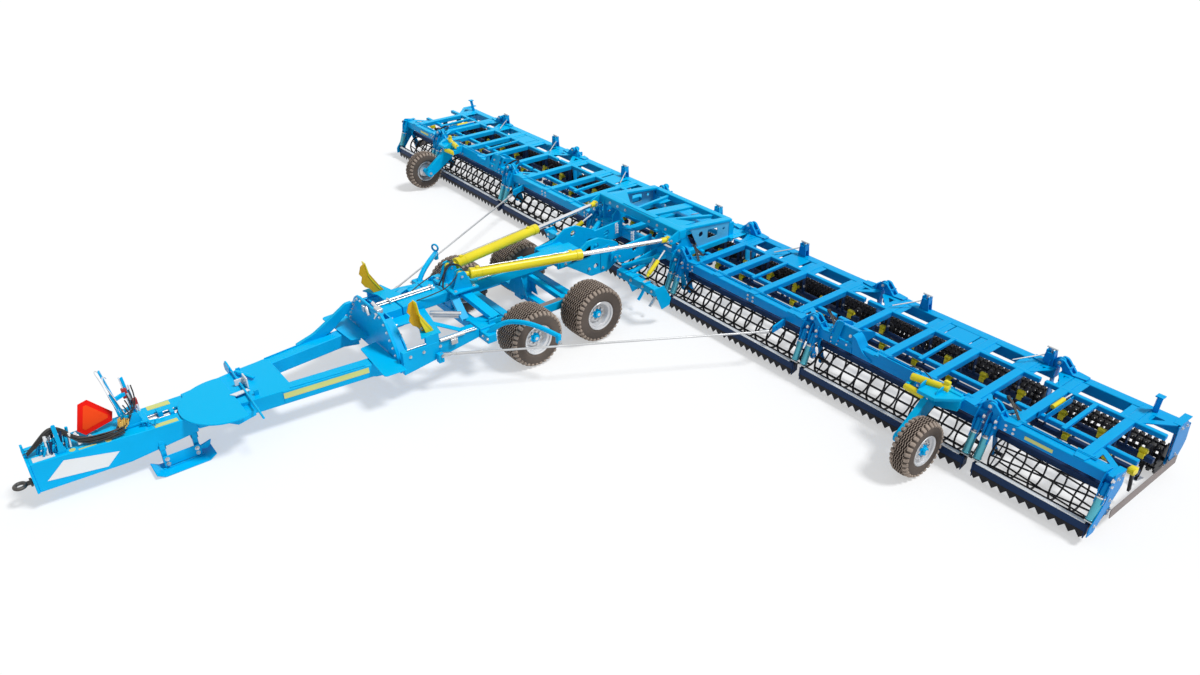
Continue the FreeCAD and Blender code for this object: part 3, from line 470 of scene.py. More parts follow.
def plate(corners, thickness, place, holes=()):
    """A plate whose middle plane is place(u, v) -> point."""
    rest()
    flat = rounded(corners)
    bpy.ops.mesh.primitive_circle_add(vertices=len(flat), radius=1,
                                      fill_type="NOTHING" if holes else "NGON")
    item = bpy.context.object
    with edit_mode():
        for hole in holes:
            ring = hole_ring(hole)
            bpy.ops.mesh.primitive_circle_add(vertices=len(ring), radius=1)
            flat += ring
    for vertex, (u, v) in zip(item.data.vertices, flat):
        vertex.co = (u, v, 0)
    with edit_mode():
        bpy.ops.mesh.select_all(action="SELECT")
        if holes:
            bpy.ops.mesh.fill()
        bpy.ops.mesh.extrude_region_move(TRANSFORM_OT_translate={"value": (0, 0, 1)})
        bpy.ops.mesh.select_all(action="SELECT")
        bpy.ops.mesh.normals_make_consistent(inside=False)
    origin = place(0, 0)
    normal = (place(1, 0) - origin).cross(place(0, 1) - origin).normalized()
    for vertex in item.data.vertices:
        u, v, w = vertex.co
        vertex.co = place(u, v) + normal * (w - 0.5) * thickness
    return item


def side_plate(corners, thickness, y, holes=()):
    """An upright plate along the machine, outlined in x and z."""
    return plate(corners, thickness, lambda u, v: at(u, y, v), holes)


def cross_plate(corners, thickness, x):
    """An upright plate across the machine, outlined in y and z."""
    return plate(corners, thickness, lambda u, v: at(x, u, v))


def deck_plate(corners, thickness, z, holes=()):
    """A level plate, outlined in x and y."""
    return plate(corners, thickness, lambda u, v: at(u, v, z), holes)


def soften(item, width=0.006, segments=2):
    """A small bevel on every sharp edge, as a modifier that is applied."""
    return modified(item, "BEVEL", width=width, segments=segments, limit_method="ANGLE",
                    angle_limit=math.radians(35))


# %% [markdown]
# Pipes and hoses are curves with a round bevel: the curve stays easy to bend, and becomes a mesh only
# when it is finished. Bolts are six-sided cylinders with a washer, made once and copied, because
# there are hundreds.

# %% Pipe
def pipe(points, diameter, sides=8):
    """A round pipe along a smooth line."""
    rest()
    data = bpy.data.curves.new("pipe", "CURVE")
    data.dimensions = "3D"
    data.bevel_depth = diameter / 2
    data.bevel_resolution = max(1, sides // 4 - 1)
    data.use_fill_caps = True
    spline = data.splines.new("NURBS")
    spline.points.add(len(points) - 1)
    for knot, point in zip(spline.points, points):
        knot.co = (*point, 1)
    spline.order_u = 3
    spline.use_endpoint_u = True
    spline.resolution_u = 4
    item = bpy.data.objects.new("pipe", data)
    scene.collection.objects.link(item)
    item.select_set(True)
    bpy.context.view_layer.objects.active = item
    bpy.ops.object.convert(target="MESH")
    return bpy.context.object


# %% Bolts and copies
def copied(item, change):
    """A copy of a shop part with its own mesh, moved by a matrix."""
    copy = item.copy()
    copy.data = item.data.copy()
    copy.data.transform(change)
    scene.collection.objects.link(copy)
    return copy


def repeat(unit, places, turns=None):
    """Copies of a unit modelled at the origin, with a turn each or none. The unit itself goes."""
    turns = turns or [Matrix.Identity(4)] * len(places)
    made = [copied(unit, Matrix.Translation(place) @ turn) for place, turn in zip(places, turns)]
    bpy.data.objects.remove(unit)
    return made


def both(items):
    """Shop parts and their mirror images on the machine's other side, turned the right way out."""
    made = []
    for item in items:
        image = copied(item, Matrix.Diagonal((1, -1, 1, 1)))
        image.data.flip_normals()
        made += [item, image]
    return made


def dip(items, finish_name):
    """Gives one or several shop parts a finish."""
    for item in items if isinstance(items, list) else [items]:
        item.data.materials.clear()
        item.data.materials.append(FINISH[finish_name])
    return items


def bolts(places, axis, size=0.024):
    """Hexagon heads on washers, pointing along an axis."""
    rest()
    bpy.ops.mesh.primitive_cylinder_add(vertices=10, radius=size * 0.95, depth=0.005)
    washer = bpy.context.object
    bpy.ops.mesh.primitive_cylinder_add(vertices=6, radius=size * 0.62, depth=size * 0.7,
                                        location=(0, 0, size * 0.4))
    unit = joined([washer, bpy.context.object])
    turn = Vector(axis).to_track_quat("Z", "Y").to_matrix().to_4x4()
    return repeat(dip(unit, "galvanised"), places, [turn] * len(places))


# %% [markdown]
# A finished piece is many shop parts joined, so it leaves this bench as one mesh at the origin, with
# smooth shading only across its small angles and large faces kept flat by weighted normals. It then
# rides on a body of the model, and may stand for a plain node of it.

# %% Finishing a piece
TALLY = {}


def weld(name, items, body, slot, replaces=None, coat=None):
    """Joins shop parts into one finished piece. Bare parts get the coat, or else the slot's."""
    for item in items:
        if not item.data.materials:
            item.data.materials.append(FINISH[coat or slot])
    empty = bpy.data.objects.new(name, bpy.data.meshes.new(name))
    scene.collection.objects.link(empty)
    piece = joined([empty] + items)
    piece.data.validate()
    bpy.ops.object.shade_smooth_by_angle(angle=math.radians(50))
    modified(piece, "WEIGHTED_NORMAL", keep_sharp=True)
    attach(piece, body)
    if replaces:
        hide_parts(replaces)
    TALLY[name] = sum(len(face.vertices) - 2 for face in piece.data.polygons)


def weld_pair(name, items, body, slot, replaces, left_coat=None, right_coat=None):
    """Welds a left piece and its mirror image. The names have a gap for the side."""
    pair = both(items)
    for side, parts, coat in (("left", pair[::2], left_coat), ("right", pair[1::2], right_coat)):
        weld(name.format(side), parts, body.format(side), slot, replaces.format(side), coat)


# %% [markdown]
# The drawbar's nose is a folded box that grows wider towards the turntable. It starts as a side
# outline extruded to a plate, and its points are then pushed out to the width that the nose has at
# their place. The slot in its deck is carved with a Boolean, as a saw would do it.

# %% Drawbar nose
NOSE_X, NOSE_BACK, NOSE_HALF = 7.4, 5.6, 0.2
DECK_FRONT, DECK_BACK = 0.655, 0.585


def nose_half(x):
    """Half the width of the nose."""
    return NOSE_HALF + 0.1 * (NOSE_X - x) / (NOSE_X - NOSE_BACK)


def deck(x):
    """Height of the nose's deck."""
    return DECK_BACK + (DECK_FRONT - DECK_BACK) * (x - NOSE_BACK) / (NOSE_X - NOSE_BACK)


def carve(item, tool):
    """Cuts a tool's shape out of an item."""
    modified(item, "BOOLEAN", object=tool, solver="EXACT")
    bpy.data.objects.remove(tool)


nose = side_plate([(NOSE_X, 0.25), (NOSE_X, DECK_FRONT), (NOSE_BACK, DECK_BACK),
                   (NOSE_BACK, 0.36), (6.4, 0.25)], 0.4, 0)
for vertex in nose.data.vertices:
    vertex.co.y = math.copysign(nose_half(vertex.co.x - AXLE_X), vertex.co.y)
carve(nose, block(at(5.96, 0, DECK_BACK), (0.48, 0.15, 0.16), 0))
soften(nose, 0.012)
front = soften(cross_plate([(-0.21, 0.25), (0.21, 0.25), (0.21, 0.66, 0.05), (-0.21, 0.66, 0.05)],
                           0.03, NOSE_X + 0.012), 0.004)
nose_parts = [
    nose, front, block(at(NOSE_X + 0.01, 0, 0.74), (0.028, 0.06, 0.15)),
    soften(side_plate([(7.0, 0.6), (7.1, 0.6), (7.075, 0.8, 0.03), (7.075, 1.03, 0.015),
                       (7.03, 1.03, 0.015), (7.03, 0.8, 0.03)], 0.02, 0.165), 0.003),
    block(at(7.052, 0.12, 0.655), (0.1, 0.1, 0.03)),
    side_plate([(7.2, 0.63), (7.3, 0.63), (7.28, 0.74, 0.02), (7.22, 0.74, 0.02)], 0.012, 0.02),
    tube(at(6.18, 0.17, 0.69), at(5.98, 0.235, 0.68), 0.03, 0.012, 0.003),
    tube(at(6.1, -0.12, 0.62), at(6.1, 0.2, 0.62), 0.05, 0.03, 0.006),
    block(at(5.93, 0.0, 0.62), (0.06, 0.11, 0.09)), block(at(5.8, 0.03, 0.6), (0.05, 0.1, 0.05))]
nose_parts += [bar(at(x, y, deck(x)), at(x - 0.02, y + 0.005, deck(x) + 0.09), 0.02)
               for x, y in ((6.12, 0.19), (6.05, 0.225), (6.17, 0.15))]
nose_parts += bolts([at(x, 0.0, deck(x) + 0.002) for x in (7.0, 6.86, 6.72)], (0, 0, 1))
weld("nose_box", nose_parts, "chassis", "blue_paint", "drawbar_nose")

# %% Ram in the deck slot
ram = [bar(at(6.185, 0.0, 0.56), at(5.97, 0.0, 0.56), 0.07, 20, 0.004),
       bar(at(6.15, -0.052, 0.59), at(5.75, -0.052, 0.585), 0.016),
       bar(at(6.15, 0.055, 0.585), at(5.75, 0.055, 0.58), 0.018)]
rod = dip([bar(at(5.98, 0.0, 0.56), at(5.73, 0.0, 0.56), 0.036, 16)], "chrome")
# A navy sheet on the slot's floor: painted shade inside the slot.
painted_slot_shade = dip([block(at(5.96, 0, 0.511), (0.47, 0.145, 0.006), 0)], "navy_paint")
weld("steering_ram", ram + rod + painted_slot_shade, "chassis", "galvanised")
print("nose and its ram:", TALLY)

# %% [markdown]
# Stickers are thin vinyl. Here each blank one is a plate of a few millimetres laid on the steel, so
# that it shows as a shape: a white parallelogram on the nose's flank, a white strip by the towing
# eye, and pale ones along the deck and the arm. They carry nothing.

# %% Blank stickers
flank = side_plate([(7.29, 0.375), (7.07, 0.575), (6.5, 0.455), (6.66, 0.3)], 0.003, 0)
for vertex in flank.data.vertices:
    vertex.co.y += nose_half(vertex.co.x - AXLE_X) + 0.003
weld("flank_plate", [flank], "chassis", "white_plate")


def deck_sticker(x0, x1, y, width):
    """A sticker that lies on the deck."""
    sticker = deck_plate([(x0, y - width / 2), (x0, y + width / 2), (x1, y + width / 2),
                          (x1, y - width / 2)], 0.003, 0)
    for vertex in sticker.data.vertices:
        vertex.co.z += deck(vertex.co.x - AXLE_X) + 0.002
    return sticker


weld("front_strip", [deck_sticker(7.36, 7.13, 0.135, 0.1)], "chassis", "white_plate")
labels = [bar(at(x, y, deck(x)), at(x, y, deck(x) + 0.003), size)
          for x, y, size in ((6.95, 0.17, 0.07), (6.57, 0.21, 0.075))]
labels += [deck_sticker(*place) for place in ((6.06, 5.79, 0.235, 0.075),
                                              (6.03, 5.76, -0.215, 0.1), (6.89, 6.7, 0.205, 0.022))]
weld("deck_labels", labels, "chassis", "pale_label")

# %% [markdown]
# Behind the nose the drawbar turns on a big plate and forks into two arms. The plate is drawn by a
# loop round its circle and cut off straight at the back. A locking bar lies across the deck with a
# paddle at its far end.

# %% Fork and turntable plate
PLATE_X, PLATE_Y, PLATE_RADIUS, PLATE_CUT = 5.2, 0.2, 0.55, 5.08
ARM_TOP, ARM_DEPTH = 0.6, 0.205
half_arc = math.acos((PLATE_CUT - PLATE_X) / PLATE_RADIUS)
rim = [(PLATE_X + PLATE_RADIUS * math.cos(a), PLATE_Y + PLATE_RADIUS * math.sin(a))
       for a in (half_arc * (k / 24 - 1) for k in range(49))]
turntable = soften(deck_plate(rim, 0.022, ARM_TOP + 0.011), 0.004)
body = deck_plate([(5.6, -0.3), (5.6, 0.3), (4.85, 0.43), (4.4, 0.47), (4.4, -0.47),
                   (4.85, -0.43)], ARM_DEPTH, ARM_TOP - ARM_DEPTH / 2)
carve(body, block(at(5.005, 0.19, 0.5), (0.19, 0.12, 0.5), 0))
soften(body, 0.012)
skirt = soften(deck_plate([(5.5, 0.25), (5.2, 0.62), (4.95, 0.55), (4.95, 0.3)], 0.09, 0.5), 0.006)
ARM_FRONT, ARM_BACK, ARM_WIDTH = (4.55, 0.37), (3.082, 0.511), 0.19
ARM_MIDDLE = ARM_TOP - ARM_DEPTH / 2
fork = both([
    tube(at(*ARM_FRONT, ARM_MIDDLE), at(*ARM_BACK, ARM_MIDDLE), ARM_WIDTH, ARM_DEPTH - 0.004, 0.016),
    tube(at(4.45, 0.45, 0.607), at(3.45, 0.56, 0.607), 0.012, 0.016, 0.003),
    block(at(4.84, 0.33, 0.63), (0.06, 0.02, 0.09)),
    soften(deck_plate([(3.33, 0.14, 0.04), (3.08, 0.11), (3.08, 1.02), (3.39, 1.0, 0.05)], 0.014,
                      0.614), 0.003),
    soften(side_plate([(3.5, 0.42), (3.08, 0.42), (3.08, 0.3), (3.3, 0.34, 0.05)], 0.02, 0.5),
           0.003)])
brace = side_plate([(3.96, 0.54), (3.96, 0.605), (3.7, 0.68, 0.4), (3.4, 0.85, 0.4),
                    (3.18, 0.985, 0.1), (3.09, 0.985), (3.09, 0.9), (3.3, 0.75, 0.3),
                    (3.45, 0.62, 0.3)], 0.06, -0.54)
fork += [turntable, body, skirt, soften(brace, 0.006),
         bar(at(4.9, -0.6, 0.642), at(4.97, 0.93, 0.63), 0.028),
         soften(cross_plate([(-0.58, 0.56), (-0.4, 0.56), (-0.36, 0.7, 0.02), (-0.5, 0.74, 0.03),
                             (-0.6, 0.64, 0.02)], 0.02, 4.93), 0.003),
         tube(at(4.88, -0.3, 0.66), at(4.74, -0.02, 0.64), 0.05, 0.03)]
fork += dip([block(at(4.87, 0.05, 0.68), (0.02, 0.16, 0.15)),
             block(at(4.93, -0.02, 0.655), (0.12, 0.016, 0.09)),
             deck_plate([(5.12, 0.17), (5.07, 0.24), (4.88, 0.22), (4.9, 0.16)], 0.012, 0.629)],
            "white_plate")
fork += bolts([at(4.88, 0.09, 0.7), at(4.88, 0.01, 0.7)], (1, 0, 0), 0.02)
weld("drawbar_arms", fork, "chassis", "blue_paint", "drawbar_fork")

spread = (ARM_BACK[1] - ARM_FRONT[1]) / (ARM_FRONT[0] - ARM_BACK[0])
stripe = side_plate([(4.55, 0.485), (4.55, 0.565), (3.42, 0.565), (3.42, 0.485)], 0.004, 0.0977)
for vertex in stripe.data.vertices:
    vertex.co.y += ARM_FRONT[1] + (ARM_FRONT[0] + AXLE_X - vertex.co.x) * spread
weld("arm_stripe", [stripe], "chassis", "pale_label")
print("fork:", TALLY["drawbar_arms"], "triangles")

# %% [markdown]
# The towing eye is a forged ring on a shank. A torus primitive, flattened a little, gives the ring
# its round edges; the shank is a round bar that ends in a flange against the nose plate.

# %% Towing eye
EYE_X, EYE_HEIGHT = 7.56, 0.305
rest()
bpy.ops.mesh.primitive_torus_add(major_radius=0.058, minor_radius=0.0245, major_segments=40,
                                 minor_segments=14, location=at(EYE_X, 0, EYE_HEIGHT))
ring = bpy.context.object
bpy.ops.transform.resize(value=(1, 1, 0.86), center_override=at(EYE_X, 0, EYE_HEIGHT))
bpy.ops.object.transform_apply()
eye_parts = [ring, bar(at(7.15, 0, EYE_HEIGHT), at(7.44, 0, EYE_HEIGHT), 0.08, 24),
             bar(at(7.431, 0, EYE_HEIGHT), at(7.456, 0, EYE_HEIGHT), 0.11, 24, 0.004),
             bar(at(7.45, 0, EYE_HEIGHT), at(7.487, 0, EYE_HEIGHT), 0.062, 6),
             bar(at(7.46, 0, EYE_HEIGHT), at(7.492, 0, EYE_HEIGHT), 0.046, 20)]
weld("forged_eye", eye_parts, "towing_eye", "cast_eye", "towing_eye")

# %% [markdown]
# Between the nose post and the rack the hoses run as one clipped bundle over a guide. The route is
# the model's own, a given list. Each hose follows it at its own place in the bundle and
# wanders a little, so the bundle doesn't read as one fat pipe.

# %% Hose bundle and its couplings
ROUTE = [(7.385, 0.06, 0.7), (7.26, 0.07, 0.8), (7.13, 0.085, 0.915), (7.04, 0.095, 0.925),
         (6.96, 0.105, 0.85), (6.885, 0.12, 0.74), (6.79, 0.15, 0.685), (6.65, 0.195, 0.672),
         (6.5, 0.215, 0.668), (6.38, 0.19, 0.665)]
HOSES, HOSE_SIZE = 9, 0.018
hoses = []
for k in range(HOSES):
    line = []
    for j, (x, y, z) in enumerate(ROUTE):
        angle = 2 * math.pi * k / HOSES + 0.35 * j
        reach = (0.028 + 0.014 * math.sin(1.7 * k + 0.9 * j)) * (1.0 if j else 0.4)
        line.append(at(x, y + reach * math.cos(angle), z + 0.012 + reach * math.sin(angle)))
    hoses.append(pipe(line, HOSE_SIZE))
hoses += [pipe([at(6.44, 0.19 - 0.02 * k, 0.68), at(6.34, 0.16 - 0.03 * k, 0.7 + 0.015 * k),
                at(6.24 - 0.03 * k, 0.14 - 0.04 * k, 0.8),
                at(6.3 - 0.04 * k, 0.05 - 0.03 * k, 0.92 + 0.04 * k)], 0.016) for k in range(5)]
hoses += [pipe([at(7.425, y, z), at(7.34, 0.05, z + 0.02), at(7.2, 0.05, z + 0.07)], 0.009, 6)
          for y, z in ((0.03, 0.705), (-0.02, 0.72))]
weld("hoses", hoses, "chassis", "hose", "hose_bundle")

fittings = [bar(at(7.24 - 0.05 * k, 0.06, 0.7), at(7.24 - 0.05 * k, 0.12, 0.735), 0.016, 8)
            for k in range(4)]
dip(fittings, "galvanised")
for k in range(9):
    x, y = 7.29 - 0.028 * k, 0.03 + 0.05 * (k % 3)
    fittings += [bar(at(x, y, 0.66), at(x - 0.03, y + 0.01, 0.735), 0.026, 8, 0.003),
                 bar(at(x - 0.03, y + 0.01, 0.73), at(x - 0.042, y + 0.014, 0.77), 0.036, 6)]
for k in range(14):
    x, y = 7.19 - 0.04 * (k % 7), 0.03 + 0.09 * (k // 7) + 0.01 * (k % 3)
    top = 0.8 + 0.03 * ((k * 5) % 4)
    plug = [bar(at(x, y, 0.66), at(x - 0.02, y, top), 0.022, 8, 0.002),
            bar(at(x - 0.016, y, top - 0.05), at(x - 0.024, y, top + 0.015), 0.036, 8, 0.003)]
    fittings += dip(plug, ("blue_paint", "white_plate", "navy_paint")[k % 3])
fittings += dip([tube(at(6.86, 0.08, 0.76), at(6.845, 0.16, 0.67), 0.05, 0.008, 0.002),
                 tube(at(6.872, 0.07, 0.79), at(6.86, 0.08, 0.76), 0.05, 0.008, 0.002)],
                "white_plate")
weld("coupling_block", fittings, "chassis", "blue_paint")
print("hoses:", TALLY["hoses"], "triangles")

# %% [markdown]
# The rack parks the loose couplings at the end of the bundle. It is bent from flat bar, with pipes
# that curl over its top, valves with red blocks, and small brass couplings at its foot, which one
# loop sets out in rows.

# %% Rack that parks the couplings
rack = [tube(at(6.3, 0.03, 0.63), at(6.425, 0.0, 1.42), 0.05, 0.02, 0.004),
        tube(at(6.35, 0.05, 0.63), at(6.39, 0.03, 1.1), 0.02, 0.03, 0.004),
        tube(at(6.175, -0.06, 0.63), at(6.21, -0.1, 1.2), 0.04, 0.016, 0.004),
        tube(at(6.37, 0.015, 1.0), at(6.18, -0.085, 1.0), 0.03, 0.05, 0.004),
        tube(at(6.34, 0.02, 0.8), at(6.17, -0.07, 0.8), 0.03, 0.05, 0.004),
        block(at(6.24, -0.01, 0.635), (0.24, 0.24, 0.036)),
        side_plate([(6.14, 0.65), (6.36, 0.65), (6.33, 0.8, 0.03), (6.18, 0.8, 0.03)], 0.01, 0.1)]
rack += dip([pipe([at(6.33, 0.05, 0.66), at(6.4, 0.04, 1.0), at(6.45, 0.03, 1.33),
                   at(6.48, 0.02, 1.43), at(6.45, 0.0, 1.45), at(6.42, 0.01, 1.38)], 0.014),
             pipe([at(6.28, 0.06, 0.7), at(6.36, 0.05, 1.05), at(6.43, 0.06, 1.3),
                   at(6.405, 0.07, 1.4), at(6.38, 0.06, 1.33)], 0.014),
             bar(at(6.2, -0.04, 0.64), at(6.24, -0.08, 1.22), 0.014, 8),
             bar(at(6.16, -0.03, 0.64), at(6.17, -0.06, 1.1), 0.016, 8)], "chrome")
rack += dip([block(at(6.225, -0.07, 1.0), (0.06, 0.05, 0.13)),
             block(at(6.15, -0.06, 0.83), (0.06, 0.05, 0.13))], "red_cap")
rack += dip([bar(at(6.19, -0.05, 0.9), at(6.2, -0.05, 1.0), 0.03, 8),
             bar(at(6.13, -0.04, 0.72), at(6.14, -0.04, 0.82), 0.03, 8)], "white_plate")
for k in range(12):
    x, y = 6.42 - 0.02 * (k % 6), 0.17 - 0.05 * (k // 6)
    rack.append(dip(bar(at(x, y, 0.67 + 0.02 * (k % 3)),
                        at(x - 0.03, y - 0.04, 0.75 + 0.015 * (k % 4)), 0.024, 8, 0.003), "brass"))
weld("coupling_stand", rack, "chassis", "blue_paint", "coupling_rack")

# %% [markdown]
# The slow vehicle sign is a triangle with its points cut off, tipped on its side here. Its six
# corners come from three directions a third of a turn apart. A brighter panel lies on a red border.

# %% Warning triangle
SIGN_MIDDLE, SIGN_LEAN, SIGN_FIRST = at(6.634, -0.05, 0.84), math.radians(14), math.radians(78)


def sign_place(u, v):
    """From the sign's own flat coordinates to the machine, leaning back."""
    return SIGN_MIDDLE + Vector((u, -v * math.sin(SIGN_LEAN), v * math.cos(SIGN_LEAN)))


def sign_panel(reach, clip, thickness, lift):
    """A clipped triangle, its cut corners at a given reach from the middle."""
    corners = []
    for k in range(3):
        angle = SIGN_FIRST + 2 * math.pi * k / 3
        across = Vector((-math.sin(angle), math.cos(angle)))
        middle = Vector((math.cos(angle), math.sin(angle))) * reach
        corners += [tuple(middle - across * clip), tuple(middle + across * clip)]
    return plate(corners, thickness, lambda u, v: sign_place(u, v) + Vector((0, lift, 0)))


sign = [soften(sign_panel(0.216, 0.055, 0.004, 0.0), 0.001),
        dip(sign_panel(0.165, 0.018, 0.003, 0.004), "sign_orange")]
sign += dip([tube(at(6.64, -0.075, 0.632), at(6.634, -0.09, 0.9), 0.04, 0.012, 0.003),
             bar(at(6.56, -0.085, 0.9), at(6.7, -0.085, 0.9), 0.014)], "galvanised")
weld("slow_sign", sign, "chassis", "sign_red", "warning_triangle")

# %% [markdown]
# The parking stand is two square legs on a ski. The ski is drawn from the side as one bent strip and
# pushed out to its full width. The collars that the legs slide in stay on the drawbar, so they are
# a piece of their own.

# %% Parking stand
LEGS = (5.6675, 6.0525)
ski = side_plate([(5.59, 0.0, 0.03), (6.13, 0.0, 0.03), (6.225, 0.062), (6.215, 0.076),
                  (6.125, 0.018, 0.02), (5.595, 0.018, 0.02), (5.505, 0.076), (5.495, 0.062)],
                 0.3, 0.31)
stand = [soften(ski, 0.004, 1), block(at(5.86, 0.31, 0.024), (0.5, 0.02, 0.014)),
         soften(side_plate([(5.635, 0.045), (6.085, 0.045), (6.085, 0.195, 0.02),
                            (5.635, 0.195, 0.02)], 0.014, 0.311), 0.003),
         side_plate([(5.5, 0.2), (5.64, 0.16), (5.64, 0.12), (5.56, 0.1, 0.02),
                     (5.52, 0.14, 0.02)], 0.02, 0.306)]
collars = []
for x in LEGS:
    stand += [tube(at(x, 0.25, 0.03), at(x, 0.25, 0.4), 0.06, 0.06, 0.008),
              block(at(x, 0.292, 0.07), (0.06, 0.026, 0.05))]
    collars += [block(at(x + dx, 0.25 + dy, 0.315), (*size, 0.07), 0.002)
                for dx, dy, size in ((0.0355, 0, (0.009, 0.08)), (-0.0355, 0, (0.009, 0.08)),
                                     (0, 0.0355, (0.08, 0.009)), (0, -0.0355, (0.08, 0.009)))]
stand += bolts([at(x, 0.318, z) for x in (5.68, 6.04) for z in (0.08, 0.15)], (0, 1, 0), 0.03)
weld("stand_foot", stand, "parking_stand", "blue_paint", "parking_stand")
weld("stand_collars", collars, "chassis", "blue_paint", "stand_sleeves")
print("drawbar done,", sum(TALLY.values()), "triangles so far")

# %% [markdown]
# Some parts are turned on a lathe: tyres, rims, roller rings. An outline in width and radius is laid
# down and spun a full turn about the axle; the last step meets the first, so doubles are merged and
# the normals made to agree. Sloping plates get their own two directions.

# %% Turned parts and sloping plates
def lathe(profile, middle, steps):
    """A closed outline (across, radius) spun about the level axis through middle."""
    rest()
    bpy.ops.mesh.primitive_circle_add(vertices=len(profile), radius=1, fill_type="NOTHING")
    item = bpy.context.object
    for vertex, (across, radius) in zip(item.data.vertices, profile):
        vertex.co = middle + Vector((0, across, radius))
    with edit_mode():
        bpy.ops.mesh.select_all(action="SELECT")
        bpy.ops.mesh.spin(steps=steps, angle=2 * math.pi, center=middle, axis=(0, 1, 0))
        bpy.ops.mesh.select_all(action="SELECT")
        bpy.ops.mesh.remove_doubles(threshold=0.0001)
        bpy.ops.mesh.normals_make_consistent(inside=False)
    return item


def spoke(angle, reach):
    """A vector from an axle outwards, at an angle in the plane of its wheel."""
    return Vector((reach * math.cos(angle), 0, reach * math.sin(angle)))


def slope(origin, right, up):
    """The place function of a plate with its own two directions."""
    right, up = right.normalized(), up.normalized()
    return lambda u, v: origin + right * u + up * v


def smoothed(points):
    """Corners cut twice: every stretch keeps its middle half."""
    for _ in range(2):
        cut_line = [points[0]]
        for a, b in zip(points, points[1:]):
            cut_line += [a.lerp(b, 0.25), a.lerp(b, 0.75)]
        points = cut_line + [points[-1]]
    return points


def strip_outline(points, thickness):
    """The outline of a line with a thickness."""
    left, right = [], []
    for k, point in enumerate(points):
        step = points[min(k + 1, len(points) - 1)] - points[max(k - 1, 0)]
        normal = Vector((-step.y, step.x)).normalized() * thickness / 2
        left.append(tuple(point + normal))
        right.append(tuple(point - normal))
    return left + right[::-1]


print("lathe ready")

# %% [markdown]
# The portal is a flanged arch in the middle of the machine: the fork bolts to its front, the spine
# and two side beams leave at its back. Its shoulders slope down to the beams, and bolts run all along
# the flange. Behind it lie two lids, cut out so that the ground can be seen through them.

# %% Portal
def arch(profile, x, thickness):
    """A plate across the machine, mirrored from the outline of its left half."""
    return soften(cross_plate(profile + [(-c[0], *c[1:]) for c in profile[::-1]], thickness, x),
                  0.003, 1)


portal = [arch([(0.78, 0.43), (0.765, 0.6, 0.08), (0.69, 0.78, 0.15), (0.46, 1.08, 0.12),
                (0.36, 1.15, 0.04)], 3.056, 0.026),
          arch([(0.77, 0.43), (0.75, 0.6, 0.08), (0.675, 0.77, 0.15), (0.45, 1.065, 0.12),
                (0.35, 1.13, 0.04)], 3.03, 0.022),
          arch([(0.78, 0.43), (0.765, 0.6, 0.08), (0.64, 0.79, 0.15), (0.4, 1.0, 0.1),
                (0.33, 1.03, 0.04)], 2.9, 0.024),
          tube(at(2.64, 0, 0.88), at(3.03, 0, 0.88), 0.298, 0.298, 0.02),
          block(at(2.975, 0, 0.445), (0.16, 1.5, 0.028))]
half = [
    block(at(2.975, 0.42, 0.7), (0.13, 0.02, 0.5)),
    soften(side_plate([(3.06, 0.45), (3.06, 0.79), (2.17, 0.77), (1.882, 0.74), (1.882, 0.62),
                       (2.55, 0.52, 0.3), (2.9, 0.47)], 0.08, 0.855)),
    tube(at(2.975, 0.36, 1.055), at(2.975, 0.73, 0.63), 0.13, 0.016, 0.003),
    soften(deck_plate([(2.31, 0.152), (2.9, 0.152), (2.9, 0.37), (2.64, 0.4, 0.03),
                       (2.65, 0.62, 0.05), (2.76, 0.88), (2.47, 0.895)], 0.018, 0.901), 0.002, 1),
    block(at(2.6, 0.865, 0.83), (0.2, 0.05, 0.14)),
    tube(at(2.5, 0.45, 0.895), at(2.12, 0.8, 0.775), 0.09, 0.012, 0.003),
    block(at(2.0, 0.76, 0.68), (0.218, 0.148, 0.128), 0.014)]
half += bolts([at(3.07, y, z) for y, z in
               ((0.72, 0.48), (0.72, 0.58), (0.69, 0.67), (0.64, 0.76), (0.575, 0.85), (0.51, 0.94),
                (0.44, 1.03), (0.34, 1.1), (0.24, 1.11))], (1, 0, 0))
half += bolts([at(2.887, y, z) for y, z in
               ((0.7, 0.6), (0.62, 0.74), (0.52, 0.85), (0.42, 0.95), (0.3, 1.0))], (-1, 0, 0))
half += bolts([at(x, 0.896, 0.7) for x in (2.3, 2.5, 2.75, 2.95)], (0, 1, 0))
portal += both(half) + dip([
    bar(at(2.5, 0.9, 0.79), at(2.12, 0.9, 0.775), 0.05, 16, 0.004),
    bar(at(2.12, 0.9, 0.775), at(1.93, 0.9, 0.765), 0.022),
    block(at(2.3, 0.92, 0.72), (0.1, 0.05, 0.08)),
    bar(at(2.98, 0.88, 0.812), at(1.95, 0.88, 0.785), 0.018),
    bar(at(3.0, 0.16, 1.14), at(3.02, 0.05, 1.19), 0.05, 12, 0.003),
    block(at(3.02, 0.22, 1.15), (0.08, 0.12, 0.06)),
    bar(at(3.05, 0.28, 1.15), at(3.1, 0.24, 1.05), 0.024),
    bar(at(3.09, -0.02, 1.12), at(3.09, 0.06, 1.02), 0.05, 12, 0.004),
    block(at(3.09, -0.1, 1.06), (0.04, 0.06, 0.09))], "galvanised")
weld("portal", portal, "chassis", "blue_paint", "portal_frame")
print("portal:", TALLY["portal"], "triangles")

# %% [markdown]
# The spine is one heavy box tube. It carries the clevis of the two lift cylinders half way, pipes
# along its top, and at its tail the cheeks that hold the tilt shaft. The clevis plates stand square
# to the cylinders, so their directions come from the two ends of each cylinder.

# %% Spine with its clevis
LIFT_ROOT, LIFT_EYE, UP = at(1.7, 0.17, 1.24), at(-1.56, 0.93, 1.12), Vector((0, 0, 1))
LIFT_WAY = (LIFT_EYE - LIFT_ROOT).normalized()
LIFT_ACROSS = LIFT_WAY.cross(UP).normalized()
SHAFT = (-0.95, 0.8)

